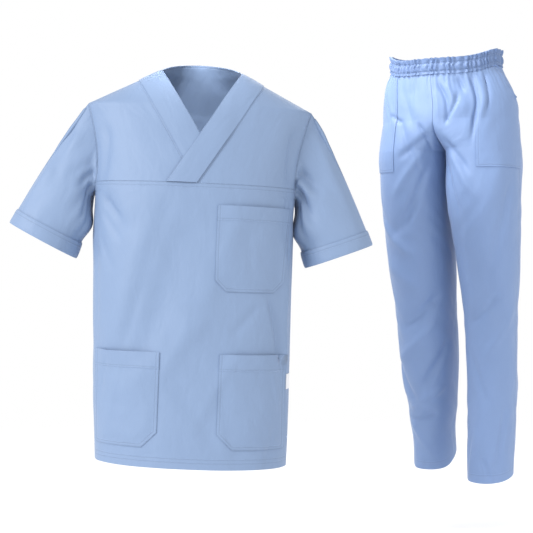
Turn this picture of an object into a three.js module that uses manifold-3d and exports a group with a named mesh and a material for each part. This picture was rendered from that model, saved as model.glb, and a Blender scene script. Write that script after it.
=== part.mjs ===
// Medical scrubs, a set of two garments in one light blue cloth: a short-sleeved tunic with a crossed V neck,
// a chest seam and three patch pockets, and trousers with a gathered elastic waistband and two slant pockets.
// Both keep the rounded, hollow form of worn clothes. Millimetres, +Z up, front towards -Y.
// Left and right are the wearer's. The origin is midway between the two points where the neck meets the shoulders.
import * as THREE from "three";
import Module from "manifold-3d";

const wasm = await Module();
wasm.setup();

// Cloth
const CLOTH = 1.6;
const PATCH = 1.4;
const SEAM_GAP = 0.4;
const LAYER_GAP = 0.3;
const SLANT_GAP = 0.55;

// Tunic heights, measured up from the neck points
const HEM_Z = -775;
const CHEST_SEAM_Z = -228;
const UNDERARM_Z = -250;
const SHOULDER_TIP_Z = -73;
const BACK_NECK_Z = 25;
const NECK_HALF = 80;
const SHOULDER_HALF = 224;

// Trousers: where they stand beside the tunic, how far they are turned, and their heights below the waist
const TROUSERS_AT = { x: 566, y: 455, z: 112 };
const TROUSERS_TURN = -28;
const BAND_HEIGHT = 37;
const CROTCH_Z = -232;
const LEG_END_Z = -1000;
const STRIDE = 9.4;

const radians = THREE.MathUtils.degToRad;
const { lerp, clamp, smoothstep } = THREE.MathUtils;

const material = (name, color, roughness) =>
  new THREE.MeshStandardMaterial({ name, color, roughness, metalness: 0 });
const tunicCloth = material("tunic_cloth", 0xa3bbe2, 0.85);
const trouserCloth = material("trouser_cloth", 0x9bb2e0, 0.85);
const elasticCloth = material("waistband_cloth", 0x8fa9dc, 0.9);
const whiteTape = material("white_tape", 0xf2f3f5, 0.8);

// The value of one column of a table at height z, on a smooth curve through its rows, which run upwards.
function column(table, key, z) {
  const last = table.length - 1;
  if (z <= table[0].z) return table[0][key];
  if (z >= table[last].z) return table[last][key];
  let i = 0;
  while (table[i + 1].z < z) i++;
  const a = table[i];
  const b = table[i + 1];
  const before = table[Math.max(i - 1, 0)];
  const after = table[Math.min(i + 2, last)];
  const span = b.z - a.z;
  const slopeA = (b[key] - before[key]) / (b.z - before.z);
  const slopeB = (after[key] - a[key]) / (after.z - a.z);
  const t = (z - a.z) / span;
  const t2 = t * t;
  const t3 = t2 * t;
  return (
    a[key] * (2 * t3 - 3 * t2 + 1) +
    slopeA * span * (t3 - 2 * t2 + t) +
    b[key] * (3 * t2 - 2 * t3) +
    slopeB * span * (t3 - t2)
  );
}

// How far the cloth stands out at a point of a surface measured in millimetres along and down, from a table of
// folds. Each fold runs straight from (s, z) to (s2, z2), is wide either side, and rises or sinks by depth.
function foldHeight(folds, s, z) {
  let height = 0;
  for (const fold of folds) {
    const ds = fold.s2 - fold.s;
    const dz = fold.z2 - fold.z;
    const length = Math.hypot(ds, dz);
    const along = ((s - fold.s) * ds + (z - fold.z) * dz) / length;
    const across = ((s - fold.s) * dz - (z - fold.z) * ds) / length;
    const t = along / length;
    const ends = smoothstep(t, -0.12, 0.22) * (1 - smoothstep(t, 0.72, 1.12));
    height += fold.depth * ends * Math.exp(-((across / fold.wide) ** 2));
  }
  return height;
}

// A closed solid from a grid of outer points and the matching inner points. A ring closes on itself along i.
function wall(outer, inner, ring = false) {
  const rows = outer.length;
  const cols = outer[0].length;
  const positions = [];
  for (const grid of [outer, inner])
    for (const row of grid) for (const p of row) positions.push(p.x, p.y, p.z);
  const at = (side, j, i) => (side * rows + j) * cols + (i % cols);
  const index = [];
  const quad = (a, b, c, d) => index.push(a, b, c, a, c, d);
  const steps = ring ? cols : cols - 1;
  for (let j = 0; j < rows - 1; j++)
    for (let i = 0; i < steps; i++) {
      quad(at(0, j, i), at(0, j, i + 1), at(0, j + 1, i + 1), at(0, j + 1, i));
      quad(at(1, j, i), at(1, j + 1, i), at(1, j + 1, i + 1), at(1, j, i + 1));
    }
  for (let i = 0; i < steps; i++) {
    quad(at(0, 0, i), at(1, 0, i), at(1, 0, i + 1), at(0, 0, i + 1));
    const top = rows - 1;
    quad(at(0, top, i), at(0, top, i + 1), at(1, top, i + 1), at(1, top, i));
  }
  if (!ring)
    for (let j = 0; j < rows - 1; j++) {
      const end = cols - 1;
      quad(at(0, j, 0), at(0, j + 1, 0), at(1, j + 1, 0), at(1, j, 0));
      quad(at(0, j, end), at(1, j, end), at(1, j + 1, end), at(0, j + 1, end));
    }
  const geometry = new THREE.BufferGeometry();
  geometry.setAttribute("position", new THREE.Float32BufferAttribute(positions, 3));
  geometry.setIndex(index);
  return geometry;
}

// Turns a grid of points and outward normals into a wall between two heights above the surface.
function sheet(grid, low, high, ring = false) {
  const lift = (heightAt) =>
    grid.map((row) =>
      row.map((v) => v.point.clone().addScaledVector(v.normal, heightAt(v))),
    );
  const heightOf = (h) => (typeof h === "function" ? h : () => h);
  return wall(lift(heightOf(high)), lift(heightOf(low)), ring);
}

// Moves the border of an open grid in by half a seam gap, so that sewn pieces don't touch.
function trimmed(grid, edges = { bottom: true, top: true, start: true, end: true }) {
  const copy = grid.map((row) => row.map((v) => ({ ...v, point: v.point.clone() })));
  const rows = copy.length;
  const cols = copy[0].length;
  const pull = (v, towards) => {
    const step = towards.point.clone().sub(v.point).normalize();
    v.point.addScaledVector(step, SEAM_GAP / 2);
  };
  for (let i = 0; i < cols; i++) {
    if (edges.bottom) pull(copy[0][i], grid[1][i]);
    if (edges.top) pull(copy[rows - 1][i], grid[rows - 2][i]);
  }
  for (let j = 0; j < rows; j++) {
    if (edges.start) pull(copy[j][0], grid[j][1]);
    if (edges.end) pull(copy[j][cols - 1], grid[j][cols - 2]);
  }
  return copy;
}

// The outward normal of a surface given by two parameters. Around runs anticlockwise seen from above, up is up.
function normalOf(surface, around, up, stepAround, stepUp) {
  const a = surface(around + stepAround, up).sub(surface(around - stepAround, up));
  const b = surface(around, up + stepUp).sub(surface(around, up - stepUp));
  return a.cross(b).normalize();
}

const toManifold = (geometry) => {
  const mesh = new wasm.Mesh({
    numProp: 3,
    vertProperties: new Float32Array(geometry.getAttribute("position").array),
    triVerts: new Uint32Array(geometry.index.array),
  });
  return new wasm.Manifold(mesh);
};

const fromManifold = (solid) => {
  const mesh = solid.getMesh();
  const geometry = new THREE.BufferGeometry();
  const positions = new Float32Array(mesh.numVert * 3);
  for (let i = 0; i < mesh.numVert; i++)
    positions.set(mesh.vertProperties.subarray(i * mesh.numProp, i * mesh.numProp + 3), i * 3);
  geometry.setAttribute("position", new THREE.BufferAttribute(positions, 3));
  geometry.setIndex(new THREE.BufferAttribute(mesh.triVerts, 1));
  return geometry;
};

// A cutter for what is seen from the front: an outline of [x, z] corners, carried right through along Y.
function cutter(corners) {
  const outline = new THREE.Shape(corners.map(([x, z]) => new THREE.Vector2(x, z)));
  const depth = 600;
  const geometry = new THREE.ExtrudeGeometry(outline, { depth, bevelEnabled: false });
  geometry.rotateX(Math.PI / 2);
  geometry.translate(0, depth / 2, 0);
  const bare = new THREE.BufferGeometry();
  const position = geometry.getAttribute("position");
  const keys = new Map();
  const positions = [];
  const index = [];
  for (let i = 0; i < position.count; i++) {
    const p = [position.getX(i), position.getY(i), position.getZ(i)].map((c) => Math.round(c * 1e4) / 1e4);
    const key = p.join();
    if (!keys.has(key)) {
      keys.set(key, keys.size);
      positions.push(...p);
    }
    index.push(keys.get(key));
  }
  bare.setAttribute("position", new THREE.Float32BufferAttribute(positions, 3));
  bare.setIndex(index);
  return toManifold(bare);
}

const cutOut = (geometry, corners) => fromManifold(toManifold(geometry).intersect(cutter(corners)));

function applyTo(geometry, move) {
  const position = geometry.getAttribute("position");
  const p = new THREE.Vector3();
  for (let i = 0; i < position.count; i++) {
    p.fromBufferAttribute(position, i);
    move(p);
    position.setXYZ(i, p.x, p.y, p.z);
  }
  return geometry;
}

const between = (low, high, count) =>
  Array.from({ length: count + 1 }, (_, i) => lerp(low, high, i / count));

// The tunic's body is a stack of rounded sections. Half is the half width, front and back are the depths from the
// side seams, square is how boxy the section is, aside moves it towards the wearer's left, turn turns it.
const TORSO = [
  { z: -775, half: 191, front: 128, back: 124, square: 2.2, aside: 11, turn: -1.5 },
  { z: -640, half: 195, front: 127, back: 120, square: 2.25, aside: 7, turn: 0.2 },
  { z: -480, half: 196.5, front: 125, back: 116, square: 2.3, aside: 3, turn: 2.5 },
  { z: -350, half: 199, front: 126, back: 118, square: 2.3, aside: 0, turn: 3.4 },
  { z: -250, half: 200.5, front: 125, back: 124, square: 2.25, aside: 0, turn: 3.9 },
  { z: -170, half: 205, front: 114, back: 126, square: 2.15, aside: 2, turn: 4 },
  { z: -110, half: 216, front: 96, back: 120, square: 2.05, aside: 4, turn: 4 },
  { z: -73, half: 224, front: 84, back: 111, square: 2, aside: 4, turn: 4 },
];
// Above the shoulder tips the half width follows the shoulder slope.
const SHOULDERS = [
  { z: -73, front: 84, back: 111 },
  { z: -35, front: 64, back: 96 },
  { z: 0, front: 45, back: 82 },
  { z: 20, front: 40, back: 74 },
];
const ROLL = radians(2.2);

// The largest soft folds of the tunic. s is measured round the body from the middle of the front, towards the
// wearer's left.
const TUNIC_FOLDS = [
  { s: -60, z: -300, s2: -150, z2: -560, wide: 26, depth: 5 },
  { s: 0, z: -280, s2: -85, z2: -600, wide: 24, depth: -5 },
  { s: 60, z: -300, s2: -20, z2: -560, wide: 24, depth: 4.5 },
  { s: -185, z: -255, s2: -110, z2: -330, wide: 18, depth: -5 },
  { s: -120, z: -640, s2: -30, z2: -560, wide: 22, depth: 3 },
  { s: 30, z: -640, s2: 110, z2: -770, wide: 28, depth: -4 },
  { s: 170, z: -320, s2: 205, z2: -620, wide: 16, depth: 6 },
  { s: 135, z: -440, s2: 190, z2: -600, wide: 11, depth: -6 },
  { s: 178, z: -110, s2: 186, z2: -225, wide: 15, depth: -7 },
  { s: -170, z: -120, s2: -182, z2: -225, wide: 15, depth: -5 },
  { s: 330, z: -260, s2: 400, z2: -620, wide: 30, depth: 5 },
  { s: -340, z: -300, s2: -420, z2: -640, wide: 30, depth: 5 },
  { s: 460, z: -330, s2: 500, z2: -700, wide: 32, depth: -5 },
  { s: 300, z: -180, s2: 250, z2: -300, wide: 20, depth: -5 },
  { s: -300, z: -180, s2: -250, z2: -300, wide: 20, depth: -5 },
];
const TORSO_GIRTH = 1050;

function torsoSize(z) {
  if (z <= SHOULDER_TIP_Z)
    return {
      half: column(TORSO, "half", z),
      front: column(TORSO, "front", z),
      back: column(TORSO, "back", z),
      power: 2 / column(TORSO, "square", z),
    };
  const slope = (SHOULDER_HALF - NECK_HALF) / -SHOULDER_TIP_Z;
  return {
    half: NECK_HALF - slope * z * (z > 0 ? 0.5 : 1),
    front: column(SHOULDERS, "front", z),
    back: column(SHOULDERS, "back", z),
    power: 1,
  };
}

const curved = (value, power) => Math.sign(value) * Math.abs(value) ** power;

// A point of the tunic's outer face. Angle is in degrees from the middle of the front, towards the wearer's left.
function torso(angle, z) {
  const size = torsoSize(z);
  const a = radians(angle);
  const across = curved(Math.sin(a), size.power) * size.half;
  const ahead = curved(Math.cos(a), size.power);
  const deep = -ahead * (ahead > 0 ? size.front : size.back);
  const round = ((angle + 540) % 360) - 180;
  const s = (round / 360) * TORSO_GIRTH;
  const folds =
    foldHeight(TUNIC_FOLDS, s, z) +
    foldHeight(TUNIC_FOLDS, s > 0 ? s - TORSO_GIRTH : s + TORSO_GIRTH, z);
  const push = 1 + folds / Math.hypot(across, deep);
  return new THREE.Vector3(across * push, deep * push, z);
}

// Moves a tunic point from the straight, even body to where it hangs in the pose.
function hang(p) {
  const z = p.z;
  const turn = radians(column(TORSO, "turn", z));
  const x = p.x * Math.cos(turn) - p.y * Math.sin(turn) + column(TORSO, "aside", z);
  const y = p.x * Math.sin(turn) + p.y * Math.cos(turn);
  p.set(x * Math.cos(ROLL) + z * Math.sin(ROLL), y, z * Math.cos(ROLL) - x * Math.sin(ROLL));
}

// Where the front and back end at each height: the side seam, the armhole or the shoulder seam, in degrees.
const ARMHOLE_SCOOP_FRONT = 14;
const ARMHOLE_SCOOP_BACK = 14;
const SHOULDER_SEAM_AHEAD = 8;
function seamAngles(z) {
  if (z <= UNDERARM_Z) return { front: 90, back: 90 };
  if (z >= SHOULDER_TIP_Z) {
    const ahead = SHOULDER_SEAM_AHEAD * clamp(z / SHOULDER_TIP_Z, 0, 1);
    return { front: 90 - ahead, back: 90 - ahead };
  }
  const share = (z - UNDERARM_Z) / (SHOULDER_TIP_Z - UNDERARM_Z);
  const scoop = Math.sin(Math.PI * Math.sqrt(share)) ** 0.65;
  return {
    front: 90 - ARMHOLE_SCOOP_FRONT * scoop - SHOULDER_SEAM_AHEAD * share,
    back: 90 + ARMHOLE_SCOOP_BACK * scoop - SHOULDER_SEAM_AHEAD * share,
  };
}

const torsoPoint = (angle, z) => ({
  point: torso(angle, z),
  normal: normalOf(torso, angle, z, 0.5, 0.5),
});

// A grid over the front or back of the tunic, one row for each height.
function torsoGrid(heights, columns, span) {
  return heights.map((z) => {
    const [start, end] = span(z);
    return between(start, end, columns).map((angle) => torsoPoint(angle, z));
  });
}
const frontSpan = (z) => [-seamAngles(z).front, seamAngles(z).front];
const backSpan = (z) => [seamAngles(z).back, 360 - seamAngles(z).back];

// The back's neck edge climbs from the neck points to its middle.
const neckRise = (share) => BACK_NECK_Z * Math.sin(Math.PI * clamp(share, 0.03, 0.97)) ** 0.7;

const FRONT_COLUMNS = 20;
const BACK_COLUMNS = 14;
const ARMHOLE_HEIGHTS = [UNDERARM_Z, -244, CHEST_SEAM_Z, -206, -184, -162, -141, -121, -103, -87, SHOULDER_TIP_Z];
const BODY_HEIGHTS = between(HEM_Z, UNDERARM_Z, 14);
const SHOULDER_HEIGHTS = between(SHOULDER_TIP_Z, 0, 5);
const LOWER_FRONT_HEIGHTS = [...BODY_HEIGHTS, ...ARMHOLE_HEIGHTS.slice(1, 3)];
const UPPER_FRONT_HEIGHTS = [...ARMHOLE_HEIGHTS.slice(2), ...SHOULDER_HEIGHTS.slice(1)];
const BACK_HEIGHTS = [...BODY_HEIGHTS, ...ARMHOLE_HEIGHTS.slice(1), ...SHOULDER_HEIGHTS.slice(1)];

const group = new THREE.Group();
group.name = "medical_scrubs";

function addPiece(parent, name, geometry, cloth) {
  const mesh = new THREE.Mesh(geometry, cloth);
  mesh.name = name;
  parent.add(mesh);
}
const tunic = new THREE.Group();
group.add(tunic);
const addTunic = (name, geometry, cloth = tunicCloth) =>
  addPiece(tunic, name, applyTo(geometry, hang), cloth);

const lowerFront = torsoGrid(LOWER_FRONT_HEIGHTS, FRONT_COLUMNS, frontSpan);
const upperFront = torsoGrid(UPPER_FRONT_HEIGHTS, FRONT_COLUMNS, frontSpan);
const back = torsoGrid(BACK_HEIGHTS, BACK_COLUMNS, backSpan);
back.push(
  between(0, 1, BACK_COLUMNS).map((share) => torsoPoint(lerp(...backSpan(0), share), neckRise(share))),
);
addTunic("tunic_front", sheet(trimmed(lowerFront), -CLOTH, 0));
addTunic("tunic_back", sheet(trimmed(back), -CLOTH, 0));

// The neck bands run straight from the shoulder seams to the chest seam. NECK_SLOPE is their drop for each
// millimetre across. The wearer's left band lies over the right one where they cross.
const NECK_SLOPE = 1.65;
const V_POINT_Z = -132;
const BAND_EDGE_Z = -228;
const BAND_TUCK = 8;
const bandInner = (z) => (z - V_POINT_Z) / NECK_SLOPE;
const bandOuter = (z) => (z - BAND_EDGE_Z) / NECK_SLOPE;
const ABOVE = 60;
const FAR = 400;
const chestEdge = CHEST_SEAM_Z + SEAM_GAP / 2;
const yokeCorners = [
  [1, chestEdge],
  [1, CHEST_SEAM_Z + BAND_TUCK * NECK_SLOPE],
  [bandOuter(ABOVE) - BAND_TUCK, ABOVE],
  [FAR, ABOVE],
  [FAR, chestEdge],
];
const mirror = (corners) => corners.map(([x, z]) => [-x, z]).reverse();
const upperWall = sheet(trimmed(upperFront), -CLOTH, 0);
addTunic("tunic_yoke_left", cutOut(upperWall, yokeCorners));
addTunic("tunic_yoke_right", cutOut(upperWall, mirror(yokeCorners)));

const rightBandCorners = mirror([
  [bandInner(ABOVE), ABOVE],
  [bandOuter(ABOVE), ABOVE],
  [bandOuter(CHEST_SEAM_Z + 8), CHEST_SEAM_Z + 8],
  [-22, -175],
  [bandInner(V_POINT_Z - 32), V_POINT_Z - 32],
]);
const leftBandCorners = [
  [bandInner(ABOVE), ABOVE],
  [bandInner(chestEdge), chestEdge],
  [bandOuter(chestEdge), chestEdge],
  [bandOuter(ABOVE), ABOVE],
];
const bandLow = LAYER_GAP;
const bandHigh = LAYER_GAP + PATCH;
const crossing = (v) => (1 - smoothstep(v.point.x, 48, 78)) * bandHigh;
addTunic("neck_band_right", cutOut(sheet(trimmed(upperFront), bandLow, bandHigh), rightBandCorners));
addTunic(
  "neck_band_left",
  cutOut(
    sheet(
      trimmed(upperFront),
      (v) => bandLow + crossing(v),
      (v) => bandHigh + crossing(v),
    ),
    leftBandCorners,
  ),
);

// Patch pockets, cut from the lower front's points moved out. The chest pocket has two cut corners, the hip
// pockets one each, and their outer edges are caught in the side seams.
const CHEST_POCKET = { left: 189, right: 43, top: -269, bottom: -434, cut: 21 };
const HIP_POCKET = { inner: 57, outer: 185, top: -554, bottom: -737, cut: 30 };
const patchWall = sheet(lowerFront, LAYER_GAP, LAYER_GAP + PATCH);
const chestPocketCorners = [
  [CHEST_POCKET.right, CHEST_POCKET.top],
  [CHEST_POCKET.right, CHEST_POCKET.bottom + CHEST_POCKET.cut],
  [CHEST_POCKET.right + CHEST_POCKET.cut, CHEST_POCKET.bottom],
  [CHEST_POCKET.left - 11 - CHEST_POCKET.cut, CHEST_POCKET.bottom],
  [CHEST_POCKET.left - 11, CHEST_POCKET.bottom + CHEST_POCKET.cut],
  [CHEST_POCKET.left, CHEST_POCKET.top],
];
const hipPocketCorners = [
  [HIP_POCKET.inner, HIP_POCKET.top],
  [HIP_POCKET.inner, HIP_POCKET.bottom + HIP_POCKET.cut],
  [HIP_POCKET.inner + HIP_POCKET.cut, HIP_POCKET.bottom],
  [HIP_POCKET.outer, HIP_POCKET.bottom],
  [HIP_POCKET.outer, HIP_POCKET.top],
];
addTunic("chest_pocket", cutOut(patchWall, chestPocketCorners));
addTunic("hip_pocket_left", cutOut(patchWall, hipPocketCorners));
addTunic("hip_pocket_right", cutOut(patchWall, mirror(hipPocketCorners)));

// A plain tape tab is caught in the left side seam and folded over to the front.
const SIDE_TAB = { from: 187.5, to: 194, top: -592, bottom: -622 };
const sideTabCorners = [
  [SIDE_TAB.from, SIDE_TAB.bottom],
  [SIDE_TAB.to, SIDE_TAB.bottom],
  [SIDE_TAB.to, SIDE_TAB.top],
  [SIDE_TAB.from, SIDE_TAB.top],
];
addTunic("side_tab", cutOut(patchWall, sideTabCorners), whiteTape);

// A sleeve is a tube from the armhole to its hem. The hem is an oval: its middle, its half width in the plane of
// the body, its half depth, and how far it leans from level. Lift is how far the cap rises before it falls.
const SLEEVES = {
  left: { side: 1, x: 293, y: 4, z: -357, half: 71, deep: 60, lean: 21 },
  right: { side: -1, x: 298, y: -4, z: -348, half: 72, deep: 61, lean: 26.5 },
};
const SLEEVE_SHARES = [0, 0.07, 0.18, 0.32, 0.48, 0.65, 0.83];
const CUFF_HEIGHT = 29;
const SLEEVE_GAP = 0.6;
const UNDERARM_SLACK = 13;

// The armhole's own corner points, from the shoulder down the front to the underarm and up the back, each with the
// wall's normal and the direction that leads away from the body across the seam.
function armholeEdge(side) {
  const corner = (z, front) => {
    const angle = (front ? seamAngles(z).front : seamAngles(z).back) * side;
    const step = front ? side : -side;
    const at = torsoPoint(angle, z);
    const across = at.point.clone().sub(torso(angle - step, z)).normalize();
    const low = 1 - smoothstep(z, UNDERARM_Z, UNDERARM_Z + 40);
    const tip = z === SHOULDER_TIP_Z ? 1 : 0;
    const away = across.multiplyScalar(1 - Math.max(low, tip)).add(new THREE.Vector3(0, 0, low - tip)).normalize();
    return { ...at, away, z };
  };
  const down = ARMHOLE_HEIGHTS.slice().reverse();
  const up = ARMHOLE_HEIGHTS.slice(1, -1);
  return [...down.map((z) => corner(z, true)), ...up.map((z) => corner(z, false))];
}

// Outward normals of a ring grid, from each point's neighbours. Turn is 1 or -1, whichever faces out.
function withNormals(points, turn) {
  const cols = points[0].length;
  return points.map((row, j) =>
    row.map((point, i) => {
      const around = row[(i + 1) % cols].clone().sub(row[(i + cols - 1) % cols]);
      const below = points[Math.max(j - 1, 0)][i];
      const above = points[Math.min(j + 1, points.length - 1)][i];
      const normal = around.cross(above.clone().sub(below)).multiplyScalar(turn).normalize();
      return { point, normal };
    }),
  );
}

// Rings of points from the armhole to the sleeve's hem, on smooth curves that leave the armhole outwards and reach
// the hem along the arm, with the underarm side slack towards the body. The last two spans are the cuff's.
function sleeveRings(sleeve, edge) {
  const { side } = sleeve;
  const lean = radians(sleeve.lean);
  const across = new THREE.Vector3(side * Math.cos(lean), 0, Math.sin(lean));
  const down = new THREE.Vector3(side * Math.sin(lean), 0, -Math.cos(lean));
  const hem = new THREE.Vector3(side * sleeve.x, sleeve.y, sleeve.z);
  const curves = edge.map((corner, i) => {
    const a = (i / edge.length) * 2 * Math.PI;
    const top = (1 + Math.cos(a)) / 2;
    const start = corner.point.clone().addScaledVector(corner.away, SLEEVE_GAP);
    const end = hem.clone().addScaledVector(across, Math.cos(a) * sleeve.half);
    end.y -= Math.sin(a) * sleeve.deep;
    const startPull = corner.normal.clone().addScaledVector(corner.away, 0.3);
    startPull.z += lerp(0, -1.3, Math.sqrt(top));
    startPull.normalize().multiplyScalar(lerp(35, 125, top));
    const length = start.distanceTo(end) * 1.05;
    const endPull = down.clone().multiplyScalar(length);
    const cuff = 1 - CUFF_HEIGHT / length;
    const inwards = new THREE.Vector3(-side, -0.9, 0).multiplyScalar(UNDERARM_SLACK * (1 - top) ** 2);
    const at = (t) => {
      const t2 = t * t;
      const t3 = t2 * t;
      return start
        .clone()
        .multiplyScalar(2 * t3 - 3 * t2 + 1)
        .addScaledVector(startPull, t3 - 2 * t2 + t)
        .addScaledVector(end, 3 * t2 - 2 * t3)
        .addScaledVector(endPull, t3 - t2)
        .addScaledVector(inwards, Math.sin(Math.PI * Math.min(t / cuff, 1) ** 2.3) ** 2);
    };
    return { at, cuff };
  });
  const cuffShares = [0, 0.5, 1];
  return [
    ...SLEEVE_SHARES.map((share) => curves.map((curve) => curve.at(share * curve.cuff))),
    ...cuffShares.map((share) => curves.map((curve) => curve.at(lerp(curve.cuff, 1, share)))),
  ];
}

for (const [name, sleeve] of Object.entries(SLEEVES)) {
  const edge = armholeEdge(sleeve.side);
  const rings = withNormals(sleeveRings(sleeve, edge), sleeve.side);
  rings[0].forEach((v, i) => v.normal.copy(edge[i].normal));
  const cuff = rings.slice(-3);
  if (sleeve.side < 0) {
    rings.reverse();
    cuff.reverse();
  }
  addTunic(`sleeve_${name}`, sheet(rings, -CLOTH, 0, true));
  addTunic(`cuff_${name}`, sheet(cuff, LAYER_GAP, LAYER_GAP + PATCH, true));
}

// The trousers, in the wearer's own frame: x to the wearer's left, front towards -y, z up from the waist. Each row
// is one leg's section. Outer is the side seam, crest where the leg stands furthest forward and back, inner the
// inseam, front and back how far the crests stand out.
const LEG = [
  { z: -1000, outer: 137, crest: 85, inner: 33, front: -68, back: 68 },
  { z: -800, outer: 140, crest: 85, inner: 30, front: -67, back: 67 },
  { z: -625, outer: 144, crest: 85, inner: 26, front: -71, back: 70 },
  { z: -484, outer: 156, crest: 86, inner: 15, front: -80, back: 81 },
  { z: -343, outer: 169, crest: 85, inner: 4, front: -96, back: 98 },
  { z: -270, outer: 168, crest: 78, inner: 2, front: -108, back: 113 },
  { z: -232, outer: 164, crest: 66, inner: 0.2, front: -116, back: 122 },
  { z: -160, outer: 159, crest: 0.2, inner: 0.2, front: -121, back: 125 },
  { z: -100, outer: 153, crest: 0.2, inner: 0.2, front: -113, back: 114 },
  { z: -37, outer: 130, crest: 0.2, inner: 0.2, front: -100, back: 100 },
];
const LEG_HEIGHTS = [
  ...between(LEG_END_Z, -343, 11),
  ...[-306, -275, -250, -238, CROTCH_Z, -227, -220, -211, -200, -186, -168, -145, -122, -98, -68],
  -BAND_HEIGHT - SEAM_GAP / 2,
];
const FORK_TOP_Z = -160;
const CROTCH_Y = 5;
const PANEL_COLUMNS = 9;
const SECTION_POWER = 2 / 2.15;
// How far each leg's middle stands back, and how full it is, at each height. The right leg also strides back.
const LEG_SET = {
  left: [
    { z: -1000, back: 35, full: 1 },
    { z: -780, back: 48, full: 1.02 },
    { z: -625, back: 39, full: 1.02 },
    { z: -484, back: 18, full: 1.02 },
    { z: -343, back: -17, full: 1.01 },
    { z: -232, back: 0, full: 1 },
  ],
  right: [
    { z: -1000, back: 4, full: 0.94 },
    { z: -925, back: 7, full: 0.93 },
    { z: -860, back: 7, full: 1.05 },
    { z: -720, back: 5, full: 1.2 },
    { z: -625, back: 4, full: 1.17 },
    { z: -484, back: -4, full: 1.1 },
    { z: -343, back: -9, full: 0.96 },
    { z: -232, back: 0, full: 1 },
  ],
};
// The largest soft folds. s is measured round from the side seam, forwards for the front panel and negative backwards.
const LEG_FOLDS = {
  left: [
    { s: 137, z: -45, s2: 130, z2: -180, wide: 17, depth: -5 },
    { s: 75, z: -260, s2: 120, z2: -420, wide: 20, depth: 5 },
    { s: 110, z: -480, s2: 60, z2: -640, wide: 20, depth: -4 },
    { s: 80, z: -760, s2: 110, z2: -960, wide: 18, depth: 4 },
    { s: -110, z: -60, s2: -120, z2: -190, wide: 20, depth: -4 },
    { s: -60, z: -480, s2: -110, z2: -560, wide: 20, depth: 5 },
  ],
  right: [
    { s: 150, z: -60, s2: 150, z2: -180, wide: 18, depth: -4 },
    { s: 60, z: -480, s2: 150, z2: -560, wide: 20, depth: 5 },
    { s: 20, z: -835, s2: 130, z2: -860, wide: 24, depth: -5 },
    { s: 60, z: -690, s2: 110, z2: -800, wide: 20, depth: 4 },
    { s: -110, z: -60, s2: -120, z2: -190, wide: 20, depth: -4 },
    { s: -60, z: -520, s2: -120, z2: -590, wide: 20, depth: 5 },
  ],
};

const straight = (table, key, z) => {
  let i = 0;
  while (i < table.length - 2 && table[i + 1].z < z) i++;
  const t = clamp((z - table[i].z) / (table[i + 1].z - table[i].z), 0, 1);
  return lerp(table[i][key], table[i + 1][key], t);
};

// Evenly spaced points on a quarter-rounded line from the side seam to the crest and on to the inner seam.
function legLine(z, ahead) {
  const outer = column(LEG, "outer", z);
  const crest = straight(LEG, "crest", z);
  const inner = straight(LEG, "inner", z);
  const deep = column(LEG, ahead ? "front" : "back", z);
  const fork = clamp((FORK_TOP_Z - z) / (FORK_TOP_Z - CROTCH_Z), 0, 1);
  const end = lerp(deep, CROTCH_Y, fork ** 2.5);
  const line = [];
  const steps = 24;
  for (let i = 0; i <= steps; i++) {
    const a = (i / steps) * (Math.PI / 2);
    line.push([crest + (outer - crest) * curved(Math.cos(a), SECTION_POWER), deep * curved(Math.sin(a), SECTION_POWER)]);
  }
  for (let i = 1; i <= steps; i++) {
    const a = (i / steps) * (Math.PI / 2);
    const share = curved(Math.cos(a), SECTION_POWER);
    line.push([crest + (inner - crest) * curved(Math.sin(a), SECTION_POWER), end + (deep - end) * share]);
  }
  const lengths = [0];
  for (let i = 1; i < line.length; i++)
    lengths.push(lengths[i - 1] + Math.hypot(line[i][0] - line[i - 1][0], line[i][1] - line[i - 1][1]));
  const total = lengths[lengths.length - 1];
  return between(0, total, PANEL_COLUMNS).map((s) => {
    let i = 0;
    while (i < line.length - 2 && lengths[i + 1] < s) i++;
    const t = clamp((s - lengths[i]) / Math.max(lengths[i + 1] - lengths[i], 1e-9), 0, 1);
    const x = lerp(line[i][0], line[i + 1][0], t);
    const y = lerp(line[i][1], line[i + 1][1], t);
    return { point: new THREE.Vector3(x, y, z), s: ahead ? s : -s };
  });
}

// The waist sits a little to the wearer's right of the hips.
const waistAside = (z) => -12 * smoothstep(z, -140, -30);

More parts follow.
